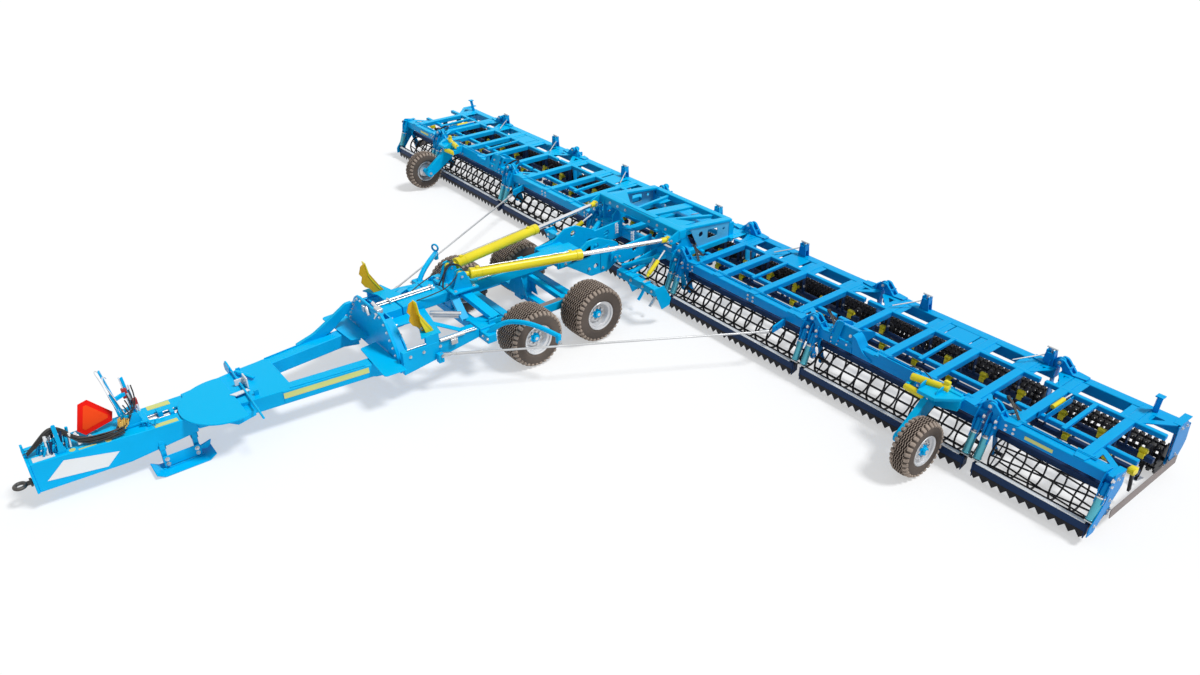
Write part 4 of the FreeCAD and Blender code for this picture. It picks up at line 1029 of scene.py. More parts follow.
half = []
for offset in (-0.054, 0.054):
    ear = plate([(-0.15, -0.2), (0.15, -0.2), (0.07, 0.02, 0.06), (0.06, 0.07, 0.04),
                 (-0.06, 0.07, 0.04), (-0.07, 0.02, 0.06)], 0.024,
                slope(LIFT_ROOT + LIFT_ACROSS * offset, LIFT_ACROSS.cross(UP), UP))
    half.append(soften(ear, 0.003, 1))
half += [
    bar(LIFT_ROOT - LIFT_ACROSS * 0.074, LIFT_ROOT + LIFT_ACROSS * 0.074, 0.05, 16, 0.003),
    soften(side_plate([(0.11, 0.88), (0.11, 1.02, 0.05), (-0.22, 1.02, 0.12), (-0.47, 1.18, 0.08),
                       (-0.68, 1.18, 0.1), (-1.07, 1.0, 0.12), (-1.08, 0.7, 0.1),
                       (-0.85, 0.57, 0.08), (-0.52, 0.57, 0.08), (-0.06, 0.88, 0.06)], 0.04, 0.3,
                      ((-0.62, 1.06, 0.05), (-0.62, 0.72, 0.045))), 0.004, 1),
    block(at(-0.13, 0.21, 0.945), (0.45, 0.15, 0.105)),
    soften(side_plate([(-0.7, 0.62, 0.03), (-0.7, 1.0, 0.05), (-0.86, 1.03, 0.08),
                       (-1.04, 0.94, 0.08), (-1.04, 0.72, 0.08), (-0.86, 0.62, 0.06)], 0.014,
                      0.325), 0.003, 1),
    soften(side_plate([(0.08, 0.89), (0.08, 1.0), (-0.5, 1.08, 0.1), (-0.5, 1.02, 0.08),
                       (-0.1, 0.93, 0.1)], 0.02, 0.325), 0.003, 1)]
for inner, outer, size, sides, chamfer in ((0.28, 0.34, 0.17, 28, 0.006),
                                           (0.425, 0.436, 0.13, 24, 0.004)):
    half.append(bar(at(SHAFT[0], inner, SHAFT[1]), at(SHAFT[0], outer, SHAFT[1]), size, sides,
                    chamfer))
half += bolts([LIFT_ROOT + LIFT_ACROSS * 0.072, LIFT_ROOT - LIFT_ACROSS * 0.072], LIFT_ACROSS, 0.02)
half += bolts([at(x, 0.333, z) for x, z in ((-0.74, 0.66), (-0.74, 0.94), (-0.86, 0.98),
                                            (-0.02, 0.945), (-0.3, 0.99), (-0.47, 0.72),
                                            (-0.47, 0.98))], (0, 1, 0))
half += bolts([at(SHAFT[0], 0.437, SHAFT[1]) + spoke(angle, 0.048) for angle in (0.6, 2.7, 4.7)],
              (0, 1, 0), 0.02)
spine = both(half) + [
    tube(at(2.63, 0, 0.95), at(-0.42, 0, 0.95), 0.28, 0.16, 0.018),
    block(at(1.7, 0, 1.04), (0.42, 0.6, 0.03)), block(at(1.22, 0, 1.036), (0.09, 0.3, 0.012)),
    block(at(0.5, 0, 1.036), (0.09, 0.3, 0.012)),
    bar(at(SHAFT[0], -0.43, SHAFT[1]), at(SHAFT[0], 0.43, SHAFT[1]), 0.09, 24, 0.006)]
spine += bolts([at(x, y, 1.056) for x in (1.55, 1.85) for y in (-0.26, 0.0, 0.26)], (0, 0, 1))
spine += dip([bar(at(2.9, -0.11, 1.055), at(2.02, -0.11, 1.055), 0.04),
              bar(at(2.9, -0.06, 1.048), at(2.02, -0.06, 1.048), 0.022),
              block(at(2.72, -0.085, 1.058), (0.03, 0.11, 0.05)),
              block(at(2.06, -0.085, 1.058), (0.03, 0.11, 0.05)),
              bar(at(2.24, 0.16, 0.8), at(1.88, 0.42, 0.78), 0.075, 18, 0.006),
              bar(at(2.2, 0.16, 0.74), at(1.88, 0.4, 0.72), 0.04),
              bar(at(0.0, 0.12, 1.05), at(1.4, 0.12, 1.05), 0.018)], "galvanised")
weld("spine", spine, "chassis", "blue_paint", "spine_beam")

# %% Loose hoses between the pipes and the lift cylinders
loops = []
for side in (1, -1):
    root = Vector((LIFT_ROOT.x, side * LIFT_ROOT.y, LIFT_ROOT.z))
    for k in range(2):
        start = at(1.95, 0.06 * side + 0.02 * k, 1.06)
        loops.append(pipe([start, start + Vector((-0.05, -0.06 * side, 0.14 + 0.04 * k)),
                           at(1.8, -0.02 * side, 1.36 + 0.03 * k), at(1.62, 0.1 * side, 1.34),
                           root + Vector((-0.02, 0.054 * side, 0.068))], HOSE_SIZE))
loops += both([pipe([at(2.4, -0.12, 1.04), at(2.2, -0.2, 1.09), at(1.9, -0.24, 1.16),
                     at(1.75, -0.2, 1.3)], 0.016)])
weld("lift_hoses", loops, "chassis", "hose")
print("spine:", TALLY["spine"], "triangles")

# %% [markdown]
# The axle frame is a ladder under the spine: two long rails, the axles below them, posts that take
# the load up, and an outrigger cross where the rails of the portal land. A swan neck reaches over
# each front wheel and keeps the wing stay off the tyre.

# %% Axle frame
RAIL_Y = 0.615
axle = [block(at(0.56, 0, 0.5), (0.11, 1.2, 0.1)), block(at(1.8, 0, 0.65), (0.15, 2.2, 0.13), 0.014),
        block(at(0.56, 0, 0.86), (0.3, 0.24, 0.014), 0.003)]
axle += [cross_plate([(-0.26, 0.55), (0.26, 0.55), (0.12, 0.84), (-0.12, 0.84)], 0.014, x)
         for x in (0.47, 0.65)]
axle += [block(at(x, 0, (0.869 + foot) / 2), (length, 0.198, 0.869 - foot), 0.012)
         for x, length, foot in ((0.56, 0.2, 0.45), (1.56, 0.12, 0.76), (1.8, 0.13, 0.65))]
half = [
    tube(at(1.41, RAIL_Y, 0.5), at(-0.29, RAIL_Y, 0.5), 0.11, 0.14, 0.014),
    dip(block(at(0.42, RAIL_Y, 0.573), (1.3, 0.085, 0.008), 0.002), "tan_band"),
    block(at(1.74, 0.74, 0.665), (0.27, 0.33, 0.158), 0.016),
    soften(side_plate([(1.8, 0.59), (1.8, 0.71), (1.62, 0.7, 0.08), (1.34, 0.57, 0.1),
                       (1.34, 0.44)], 0.06, RAIL_Y)),
    block(at(1.62, 0.815, 0.77), (0.12, 0.026, 0.085), 0.004),
    soften(side_plate([(1.5, 0.74), (1.7, 0.74), (1.72, 0.79, 0.03), (1.5, 0.8, 0.03)], 0.02, 0.86),
           0.002, 1),
    tube(at(1.87, 0.54, 0.735), at(1.58, 0.82, 0.75), 0.1, 0.02, 0.004)]
for x in (0.0, 1.12):
    axle += [bar(at(x, -1.12, 0.433), at(x, 1.12, 0.433), 0.09, 18, 0.004),
             block(at(x, 0, 0.433), (0.13, 1.37, 0.13), 0.014)]
    half.append(side_plate([(x - 0.12, 0.36), (x + 0.12, 0.36), (x + 0.09, 0.5, 0.03),
                            (x - 0.09, 0.5, 0.03)], 0.014, 0.675))
for start, end in ((1.56, 1.35), (0.5, 0.24)):
    half += [tube(at(start, 0.07, 0.815), at(end, RAIL_Y, 0.54), 0.08, 0.08),
             block(at(end, RAIL_Y - 0.03, 0.575), (0.11, 0.09, 0.03), 0.004)]
for start, end, width in ((at(1.69, 0.17, 0.99), at(1.56, 0.82, 0.795), 0.15),
                          (at(1.85, 0.17, 0.99), at(1.87, 0.5, 0.72), 0.12)):
    half.append(tube(start, end, width, 0.022, 0.004))
    for shift in (Vector((-0.45 * width, 0, -0.028)), Vector((0.45 * width, 0, -0.028))):
        half.append(tube(start + shift, end + shift, 0.012, 0.06, 0.002))

neck = [at(*knot) for knot in ((1.79, 1.0, 0.69), (1.7, 1.05, 0.79), (1.54, 1.15, 0.86),
                               (1.37, 1.32, 0.85), (1.22, 1.51, 0.79), (1.11, 1.695, 0.715))]
tip = neck[-1]
half += [pipe(neck, 0.07, 12), pipe([knot + Vector((0.02, 0, 0.02)) for knot in neck], 0.045),
         tube(tip + Vector((0, 0, 0.03)), tip + Vector((0, 0, -0.115)), 0.07, 0.07, 0.02)]
half += bolts([tip + Vector((0, 0.036, -0.09))], (0, 1, 0), 0.034)
half += bolts([at(1.875, 0.86 + 0.12 * k, 0.67) for k in range(3)], (1, 0, 0))
rest()
bpy.ops.mesh.primitive_torus_add(major_radius=0.055, minor_radius=0.016, major_segments=20,
                                 minor_segments=8, rotation=(0, math.radians(90), 0.5),
                                 location=at(1.13, -1.66, 0.83))
bpy.ops.object.transform_apply()
weld("axle_ladder", axle + [bpy.context.object] + both(half), "chassis", "blue_paint", "axle_frame")
print("axle frame:", TALLY["axle_ladder"], "triangles")

# %% [markdown]
# Two bright yellow catchers stand on the portal. Each is a pair of plates set as a V, notched on one
# edge, so a folded wing slides down into it. Thin flat plate and a bent edge are enough. The notched
# plate is a darker ochre yellow, as painted shade.

# %% Wing catchers
notched = side_plate([(2.5, 0.912), (2.66, 0.912), (2.72, 1.0), (2.78, 1.04), (2.825, 1.12),
                      (2.8, 1.2), (2.84, 1.26), (2.8, 1.377, 0.03), (2.726, 1.402), (2.69, 1.23),
                      (2.56, 1.0)], 0.018, 0.715)
fold = [Vector(p) for p in ((2.735, 1.405), (2.716, 1.28), (2.705, 1.2), (2.655, 1.1),
                            (2.56, 0.945))]
# The notched blade takes the ochre yellow, as painted shade.
catcher = [dip(soften(notched, 0.002, 1), "ochre_paint"),
           soften(side_plate(strip_outline(fold, 0.014), 0.105, 0.75), 0.002, 1),
           soften(side_plate([(2.52, 0.912), (2.64, 0.912), (2.7, 1.1), (2.72, 1.3),
                              (2.69, 1.2)], 0.012, 0.79), 0.002, 1)]
catcher += bolts([at(x, 0.725, 0.96) for x in (2.58, 2.66)], (0, 1, 0))
weld("catchers", both(catcher), "chassis", "yellow_paint", "wing_catchers")

# %% [markdown]
# A long thin stay runs from under each end of the portal to the wing. It is a plain round rod with a
# square piece at either end and a turnbuckle that sets its length.

# %% Wing stays
start, end = at(2.52, 0.945, 0.6), at(-1.385, 3.27, 0.59)
way = (end - start).normalized()
stay = [bar(start, end, 0.03, 12), bar(start + way * 0.2, start + way * 0.52, 0.044, 12, 0.004),
        tube(start - way * 0.03, start + way * 0.13, 0.05, 0.05),
        tube(end - way * 0.13, end + way * 0.01, 0.05, 0.05),
        dip(block(at(2.54, 0.94, 0.5575), (0.085, 0.085, 0.135), 0.01), "blue_paint")]
stay += [bar(start + way * k, start + way * (k + 0.03), 0.05, 6) for k in (0.17, 0.52)]
stay += bolts([start + Vector((0, 0.05, 0))], (0, 1, 0), 0.03)
weld("stay_rods", both(stay), "chassis", "galvanised", "wing_stays")

# %% [markdown]
# A lift cylinder is a honed tube with a gland at its mouth, a welded foot and steel pipes to both
# ends. The rod is hard chrome and ends in an eye that is painted yellow.

# %% Lift cylinders
LIFT_UP = LIFT_ACROSS.cross(LIFT_WAY)
if LIFT_UP.z < 0:
    LIFT_UP.negate()


def on_lift(reach, up=0.0, across=0.0):
    """A point along a lift cylinder, told from its root."""
    return LIFT_ROOT + LIFT_WAY * reach + LIFT_UP * up + LIFT_ACROSS * across


barrel = [bar(on_lift(start), on_lift(end), size, sides, chamfer)
          for start, end, size, sides, chamfer in
          ((0.135, 1.86, 0.152, 32, 0.004), (0.13, 0.19, 0.165, 32, 0.006),
           (1.78, 1.88, 0.166, 32, 0.008), (0.3, 0.312, 0.158, 32, 0.0),
           (0.0, 0.14, 0.075, 20, 0.0))]
barrel += [bar(on_lift(0, 0, -0.038), on_lift(0, 0, 0.038), 0.1, 24, 0.004),
           tube(on_lift(0.22, 0.08), on_lift(0.28, 0.08), 0.05, 0.035),
           tube(on_lift(1.66, 0.08), on_lift(1.72, 0.08), 0.05, 0.035)]
barrel += dip([bar(on_lift(0.28, 0.09, 0.02), on_lift(1.66, 0.085, 0.02), 0.014),
               bar(on_lift(1.878), on_lift(1.9), 0.1, 24, 0.003)], "galvanised")
weld_pair("barrel_{}", barrel, "lift_barrel_{}", "yellow_paint", "lift_barrel_{}")

reach = (LIFT_EYE - LIFT_ROOT).length
rod = [bar(on_lift(reach - 1.95), on_lift(reach - 0.05), 0.068, 24)]
rod += dip([bar(on_lift(reach, 0, -0.03), on_lift(reach, 0, 0.03), 0.105, 24, 0.005),
            bar(on_lift(reach - 0.12), on_lift(reach - 0.03), 0.086, 20, 0.005)], "yellow_paint")
rod += dip([bar(on_lift(reach, 0, -0.046), on_lift(reach, 0, 0.046), 0.05, 16, 0.004)],
           "galvanised")
weld_pair("rod_{}", rod, "lift_rod_{}", "chrome", "lift_rod_{}")
print("lift cylinders done")

# %% [markdown]
# Wide flotation tyres have many narrow zigzag ribs and square blocks on the shoulder. The tread is a
# flat grid that is rolled round the wheel: across it the height rises and falls once a rib, and the
# pattern is shifted to and fro on its way round. Its edges meet, so doubles are merged. The blocks
# are bevelled cubes set round both shoulders, and the walls are turned. Ribs and blocks take a
# lighter, dusty rubber with painted highlight, and the grooves a near black one, as painted shade.

# %% Tyre
TREAD_DEPTH, SHOULDER_DROP, LUG_TURN = 0.008, 0.02, math.radians(32)


def zigzag(turn, count):
    """A triangle wave between -1 and 1, count times a turn."""
    phase = (turn * count) % 1.0
    return 4 * abs(phase - 0.5) - 1


def tyre(middle, diameter, width, rim_dia, ribs, around, share):
    """Tread, shoulder blocks and side walls. A small share makes thin ribs and wide grooves."""
    radius, half, seat = diameter / 2, width / 2, rim_dia / 2
    face_half = half - 0.055
    rest()
    bpy.ops.mesh.primitive_grid_add(x_subdivisions=around * 4, y_subdivisions=ribs * 6, size=1)
    tread = bpy.context.object
    for vertex in tread.data.vertices:
        turn, place = vertex.co.x + 0.5, vertex.co.y * 2
        wave = math.cos(math.pi * ribs * (place + 0.5 / ribs * zigzag(turn, around)))
        height = TREAD_DEPTH * (max(-1.0, min(1.0, 2.0 * wave + share)) - 1)
        reach = radius + height - SHOULDER_DROP * abs(place) ** 5
        vertex.co = middle + Vector((0, place * face_half, 0)) + spoke(2 * math.pi * turn, reach)
    with edit_mode():
        bpy.ops.mesh.select_all(action="SELECT")
        bpy.ops.mesh.remove_doubles(threshold=0.0005)
        bpy.ops.mesh.normals_make_consistent(inside=False)
    # Raised faces take the lighter rubber, as painted highlight, and sunken ones the near black, as
    # painted shade.
    dip(tread, "tyre_rib")
    tread.data.materials.append(FINISH["tyre_groove"])
    for face in tread.data.polygons:
        out = face.center - middle
        crown = radius - TREAD_DEPTH - SHOULDER_DROP * abs(out.y / face_half) ** 5
        face.material_index = int(math.hypot(out.x, out.z) < crown + 0.003)
    walls = lathe([(-half + 0.03, seat), (-half + 0.008, seat + 0.02), (-half, seat + 0.05),
                   (-half + 0.003, seat + 0.06), (-half, seat + 0.075), (-half + 0.004, radius - 0.075),
                   (-half + 0.025, radius - 0.035), (-face_half, radius - 0.03), (0, radius - 0.032),
                   (face_half, radius - 0.03), (half - 0.025, radius - 0.035),
                   (half - 0.004, radius - 0.075), (half, seat + 0.075), (half - 0.003, seat + 0.06),
                   (half, seat + 0.05), (half - 0.008, seat + 0.02), (half - 0.03, seat)],
                  middle, 72)
    blocks = []
    for side in (1, -1):
        lug = block(Vector((0, 0, 0)), (1.2 * math.pi * radius / around, 0.07, 0.05), 0.012)
        places, turns_made = [], []
        for k in range(around):
            angle = 2 * math.pi * (k + 0.25 * side) / around
            places.append(middle + Vector((0, side * (half - 0.038), 0))
                          + spoke(angle, radius - 0.042))
            turns_made.append(Matrix.Rotation(math.pi / 2 - angle, 4, "Y")
                              @ Matrix.Rotation(-side * LUG_TURN, 4, "X"))
        blocks += repeat(lug, places, turns_made)
    return [tread, walls] + dip(blocks, "tyre_rib")


print("tyre ready")

# %% [markdown]
# The rims are pressed steel with a dish that carries the hub. Each is one turned profile, with a blue
# hub cap in the middle and eight nuts round it.

# %% Rim
def rim(middle, width, rim_dia, side):
    """A dished rim with its hub and nuts, open to the given side."""
    half, seat = width / 2, rim_dia / 2 - 0.0005
    disc = half - min(0.15, 0.3 * width)
    profile = [(-half + 0.02, seat - 0.008), (-half + 0.016, seat + 0.008), (-half + 0.03, seat),
               (half - 0.03, seat), (half - 0.016, seat + 0.01), (half - 0.008, seat + 0.004),
               (half - 0.02, seat - 0.014), (half - 0.045, seat - 0.016), (half - 0.06, seat - 0.045),
               (disc + 0.02, seat - 0.06), (disc + 0.008, 0.15), (disc + 0.03, 0.118), (disc + 0.03, 0.05),
               (disc - 0.1, 0.05), (disc - 0.1, 0.12), (disc - 0.01, 0.15), (disc - 0.01, seat - 0.03)]
    out = Vector((0, side, 0))
    nuts = [middle + out * (disc + 0.03) + spoke(2 * math.pi * (k + 0.3) / 8, 0.095)
            for k in range(8)]
    hub = [bar(middle + out * (disc + 0.02), middle + out * (disc + 0.045), 0.15, 24, 0.004),
           bar(middle + out * (disc + 0.04), middle + out * (disc + 0.085), 0.1, 20, 0.008)]
    return (bolts(nuts, (0, side, 0), 0.03) + dip(hub, "blue_paint")
            + [lathe([(side * y, r) for y, r in profile], middle, 48),
               bar(middle + out * (disc + 0.08), middle + out * (disc + 0.09), 0.05, 12)])


# %% Six wheels
WHEELS = [(f"{row}_{label}", "", at(x, side * 0.99, 0.433), side, (0.866, 0.49, 0.44), (9, 34, -0.3))
          for row, x in (("rear", 0.0), ("front", 1.12)) for label, side in SIDES.items()]
WHEELS += [(label, "support_", at(-1.025, side * 6.03, 0.38), side, (0.76, 0.264, 0.392), (5, 30, 0.45))
           for label, side in SIDES.items()]
for label, kind, hub, side, (diameter, width, rim_size), tread in WHEELS:
    body = f"{kind}wheel_{label}"
    weld(f"{kind}tyre_{label}_tread", tyre(hub, diameter, width, rim_size, *tread), body, "tyre",
         f"{kind}tyre_{label}")
    weld(f"{kind}rim_{label}_dish", rim(hub, width, rim_size, side), body, "rim",
         f"{kind}rim_{label}")
print("a tyre has", TALLY["tyre_rear_left_tread"], "triangles")


# %% [markdown]
# The tool frame is seven welded sections in one row. They share their tubes, so one set of functions
# builds them all: each takes the section's span across the machine, from low to high. Only the left
# wing is built, and the right one is its mirror image. First the hinge ears that join two sections,
# cut from thick plate and rounded where the pin goes through.

# %% Places of the tool frame
SECTIONS = {"centre": (-1.08, 1.08, (-0.93, -0.33, 0.33, 0.93)),
            "inner": (1.08, 3.78, (1.33, 1.88, 2.62, 3.38)),
            "middle": (3.78, 6.48, (4.18, 4.88, 5.56, 6.18)),
            "outer": (6.48, 8.01, (6.76, 7.57))}
FRONT_X, MID_X, BRACE_X, REAR_X = -1.75, -2.23, -2.87, -3.28
CARRIERS = (-2.45, -2.8)
TUBE_INSET, TOOL_INSET, ARM_INSET, ROLLER_INSET, RING_INSET = 0.03, 0.055, 0.075, 0.115, 0.125
PIN_HEIGHT = {1.08: 0.95, 3.78: 0.93, 6.48: 0.93}


def hinge(y, x, toward):
    """Ears on one side of a hinge: toward is 1 for the outer section's fork, -1 for the inner ear."""
    height, t = PIN_HEIGHT[y], toward
    outline = [(y + t * 0.19, 0.7), (y + t * 0.19, 0.825), (y + t * 0.05, height + 0.036, 0.05),
               (y - t * 0.03, height + 0.046, 0.04), (y - t * 0.048, height - 0.02, 0.03),
               (y + t * 0.04, height - 0.07, 0.05), (y + t * 0.06, 0.7)]
    parts = [soften(cross_plate(outline, 0.036, place), 0.003, 1)
             for place in ((x - 0.048, x + 0.048) if toward > 0 else (x,))]
    parts += [side_plate([(x - 0.07, 0.82), (x + 0.07, 0.82), (x + 0.07, 0.9, 0.02),
                          (x - 0.07, 0.9, 0.02)], 0.014, y + t * 0.13),
              deck_plate([(x - 0.075, y + t * 0.19), (x + 0.075, y + t * 0.19),
                          (x + 0.05, y + t * 0.36), (x - 0.05, y + t * 0.36)], 0.012, 0.828)]
    if toward < 0:
        parts += [bar(at(x - 0.082, y, height), at(x + 0.082, y, height), 0.05, 16, 0.004),
                  bar(at(x + 0.074, y, height), at(x + 0.083, y, height), 0.085, 20, 0.003)]
        parts += bolts([at(x + 0.083, y, height)], (1, 0, 0), 0.026)
    return parts


print("hinges ready")

# %% [markdown]
# At both ends of a section a spring strut holds the levelling bar down. It hangs between two bracket
# plates on the front tube: flat links above, a bright sleeve over the spring below, a stop on top.

# %% Spring strut and roller arms
def spring_strut(y):
    """A levelling bar strut with its bracket at one place across the machine."""
    top, foot = at(-1.655, y, 0.72), at(-1.485, y, 0.27)
    way = foot - top
    parts = [bar(top - way * 0.02, top + way * 0.3, 0.07, 16, 0.006)]
    for dy in (-0.05, 0.05):
        bracket = side_plate([(-1.82, 0.83), (-1.66, 0.86, 0.03), (-1.6, 0.74, 0.04),
                              (-1.58, 0.6, 0.03), (-1.66, 0.6)], 0.01, y + dy)
        beside = top + Vector((0.012, dy * 0.8, 0))
        parts += [soften(bracket, 0.002, 1),
                  tube(beside + way * 0.02, beside + way * 0.5, 0.012, 0.045, 0.003)]
    parts += dip([bar(top + way * 0.36, top + way * 0.95, 0.094, 20, 0.01),
                  bar(top + way * 0.9, top + way * 0.94, 0.104, 20, 0.004)], "strut_steel")
    parts += dip([bar(top + way * 0.1, top + way * 0.5, 0.026),
                  bar(top + way * 0.34, top + way * 0.38, 0.104, 20, 0.004),
                  bar(foot + Vector((0, -0.05, 0)), foot + Vector((0, 0.05, 0)), 0.024)],
                 "galvanised")
    return parts + bolts([at(-1.625, y + 0.05, 0.72), at(-1.62, y + 0.05, 0.8)], (0, 1, 0), 0.03)


def roller_arms(y):
    """Flat arms from the tubes to the two roller shafts at one end of a section."""
    parts = [tube(at(-1.76, y, 0.69), at(-1.89, y, 0.215), 0.014, 0.09, 0.003),
             tube(at(-3.29, y, 0.69), at(-3.33, y, 0.21), 0.014, 0.11, 0.003)]
    for x, z in ((-1.89, 0.215), (-3.33, 0.21)):
        parts.append(bar(at(x, y - 0.016, z), at(x, y + 0.016, z), 0.11, 20, 0.004))
        parts += bolts([at(x, y + 0.016, z) + spoke(angle, 0.038) for angle in (0.8, 2.9, 5.0)],
                       (0, 1, 0), 0.016)
    return parts


# %% [markdown]
# The weldment itself: four tubes across, box sections along, flat corner plates with a triangular
# window where the load is highest, and short bridge plates between the rear beam and its brace. The
# plates are what makes a real frame look busy, and they're cheap: a few dozen triangles each.

# %% Section weldment
def corner_plate(x0, y0, x1, y1, z):
    """A flat triangular plate in the corner at (x0, y0), with a triangular window."""
    dx, dy = x1 - x0, y1 - y0
    return deck_plate([(x0, y0), (x1, y0), (x1 - dx * 0.05, y0 + dy * 0.16), (x0 + dx * 0.16, y1),
                       (x0, y1)], 0.012, z,
                      ([(x0 + dx * u, y0 + dy * v, 0.008)
                        for u, v in ((0.18, 0.18), (0.62, 0.18), (0.18, 0.62))],))


def weldment(low, high, crosses, ends):
    """Tubes, crosses, corner plates and bridges between two places across the machine."""
    start, end = low + TUBE_INSET, high - TUBE_INSET
    parts = [tube(at(x, start, z), at(x, end, z), size, size, 0.014)
             for x, z, size in ((FRONT_X, 0.75, 0.14), (REAR_X, 0.735, 0.15), (MID_X, 0.74, 0.07),
                                (BRACE_X, 0.785, 0.07))]
    parts.append(dip(tube(at(-1.855, low + 0.06, 0.508), at(-1.855, high - 0.06, 0.508), 0.085,
                          0.085, 0.014), "navy_paint"))
    for y in crosses:
        parts += [tube(at(-1.76, y, 0.775), at(-3.27, y, 0.775), 0.12, 0.087),
                  deck_plate([(-1.69, y - 0.06), (-1.69, y + 0.06), (-1.86, y + 0.1),
                              (-1.86, y - 0.1)], 0.01, 0.826)]
        parts += [block(at(-3.04, y + step, 0.805), (0.3, 0.09, 0.012), 0.002)
                  for step in (-0.1, 0.1)]
        parts += dip([block(at(x, y + dy, 0.61), (0.06, 0.012, 0.25), 0.002)
                      for x in CARRIERS for dy in (-0.05, 0.05)], "navy_paint")
        parts += bolts([at(x, y + 0.057, 0.6) for x in CARRIERS], (0, 1, 0), 0.022)
    between = len(crosses) // 2
    middle = (crosses[between - 1] + crosses[between]) / 2
    parts.append(tube(at(-2.1, middle, 0.79), at(-2.87, middle, 0.81), 0.055, 0.045, 0.006))
    if len(crosses) > 2:
        parts.append(block(at(-3.04, middle, 0.806), (0.31, 0.36, 0.012), 0.002))
    for edge, y in ((start, crosses[0] - 0.06), (end, crosses[-1] + 0.06)):
        if abs(edge - y) > 0.08:
            tip = y + (edge - y) * 0.95
            parts += [corner_plate(-1.815, y, -2.1, tip, 0.8),
                      corner_plate(-3.21, y, -2.88, tip, 0.81)]
    for y in (low + ARM_INSET, high - ARM_INSET):
        parts += spring_strut(y) + roller_arms(y)
    for y, toward in ends:
        parts += hinge(y, FRONT_X, toward) + hinge(y, REAR_X, toward)
    parts += bolts([at(-1.679, y + dy, z) for y in crosses[::2] for dy in (-0.05, 0.05)
                    for z in (0.72, 0.78)], (1, 0, 0), 0.018)
    return parts


print("weldment ready")

# %% [markdown]
# On the rear beam stand the spindles that set the rear roller: a fork of two plates with a bright
# screw and a crank on top. The crank's rod slants forward to the carriers.

# %% Spindle and post
def spindle(y):
    """A depth spindle on the rear beam."""
    parts = [cross_plate([(y - 0.075, 0.8), (y + 0.075, 0.8), (y + 0.055, 0.98, 0.02),
                          (y - 0.055, 0.98, 0.02)], 0.012, REAR_X + dx) for dx in (-0.04, 0.04)]
    parts += [block(at(REAR_X, y + dy, 0.96), (0.1, 0.02, 0.12)) for dy in (-0.045, 0.045)]
    return parts + dip([bar(at(REAR_X, y, 0.82), at(REAR_X, y, 1.03), 0.03),
                        bar(at(REAR_X, y - 0.07, 1.035), at(REAR_X, y + 0.07, 1.035), 0.022),
                        bar(at(REAR_X + 0.03, y - 0.06, 0.93), at(-2.92, y - 0.3, 0.86), 0.018)],
                       "galvanised")


def beam_post(y):
    """A plain post with a flat head, where the folded section comes to rest."""
    return [tube(at(REAR_X + 0.02, y, 0.8), at(REAR_X + 0.06, y + 0.02, 1.04), 0.06, 0.06, 0.01),
            block(at(REAR_X + 0.06, y + 0.02, 1.045), (0.09, 0.09, 0.016), 0.003)]


# %% [markdown]
# The ground tools hang below. The levelling bar is a folded plank with a white strip along its top
# edge and a saw blade under it: one outline holds all the teeth. Behind it two carriers hold the
# spring tines in yellow clamps.

# %% Levelling bar
TOOTH_PITCH, TOOTH_ROOT, TOOTH_TIP = 0.12, 0.115, 0.046


def leveller(low, high):
    """The toothed levelling bar between two places across the machine."""
    start, end = low + TOOL_INSET, high - TOOL_INSET
    middle, length = (start + end) / 2, end - start
    teeth = round(length / TOOTH_PITCH)
    outline = [(start, 0.15)]
    for k in range(teeth):
        outline += [(start + k * length / teeth, TOOTH_ROOT),
                    (start + (k + 0.5) * length / teeth, TOOTH_TIP)]
    outline += [(end, TOOTH_ROOT), (end, 0.15)]
    parts = dip([cross_plate(outline, 0.01, -1.449),
                 block(at(-1.505, middle, 0.225), (0.085, length, 0.05), 0.01),
                 block(at(-1.53, middle, 0.13), (0.03, length * 0.96, 0.03))], "black_paint")
    parts += [dip(block(at(-1.47, middle, 0.258), (0.05, length * 0.94, 0.01), 0.001),
                  "white_plate"),
              block(at(-1.452, middle, 0.185), (0.012, length, 0.13), 0.003)]
    return parts + [side_plate([(-1.44, 0.06), (-1.44, 0.25), (-1.5, 0.29, 0.02),
                                (-1.56, 0.2, 0.02), (-1.56, 0.1)], 0.01, y)
                    for y in (start + 0.02, end - 0.02)]


# %% [markdown]
# An S tine is flat spring steel bent in one plane, so its side view is a line with a thickness. The
# line is smoothed by cutting its corners twice, offset to both sides, and the outline becomes a
# plate as wide as the steel.

# %% Spring tine
def tine_unit():
    """One spring tine with its share, its clamp at the origin of the carrier's middle."""
    line = smoothed([Vector(p) for p in ((0.05, 0.045), (-0.06, 0.06), (-0.17, 0.1),
                                         (-0.235, 0.02), (-0.2, -0.1), (-0.12, -0.2),
                                         (-0.115, -0.3), (-0.06, -0.385))])
    spring = plate(strip_outline(line, 0.012), 0.034, lambda u, v: Vector((u, 0, v)))
    share = plate([(-0.045, -0.06), (0.05, -0.015), (0.05, 0.015), (-0.045, 0.06)], 0.007,
                  slope(Vector((-0.095, 0, -0.375)), Vector((0.9, 0, -0.3)), Vector((0, 1, 0))))
    clamp = [block(Vector((0.0, 0, 0.05)), (0.1, 0.08, 0.034), 0.012),
             block(Vector((0.05, 0, 0.03)), (0.014, 0.07, 0.07), 0.005),
             bar(Vector((0.01, -0.05, 0.085)), Vector((0.01, 0.05, 0.085)), 0.07, 16, 0.012)]
    return joined([dip(spring, "black_paint"), dip(share, "galvanised")]
                  + dip(clamp, "yellow_paint"))


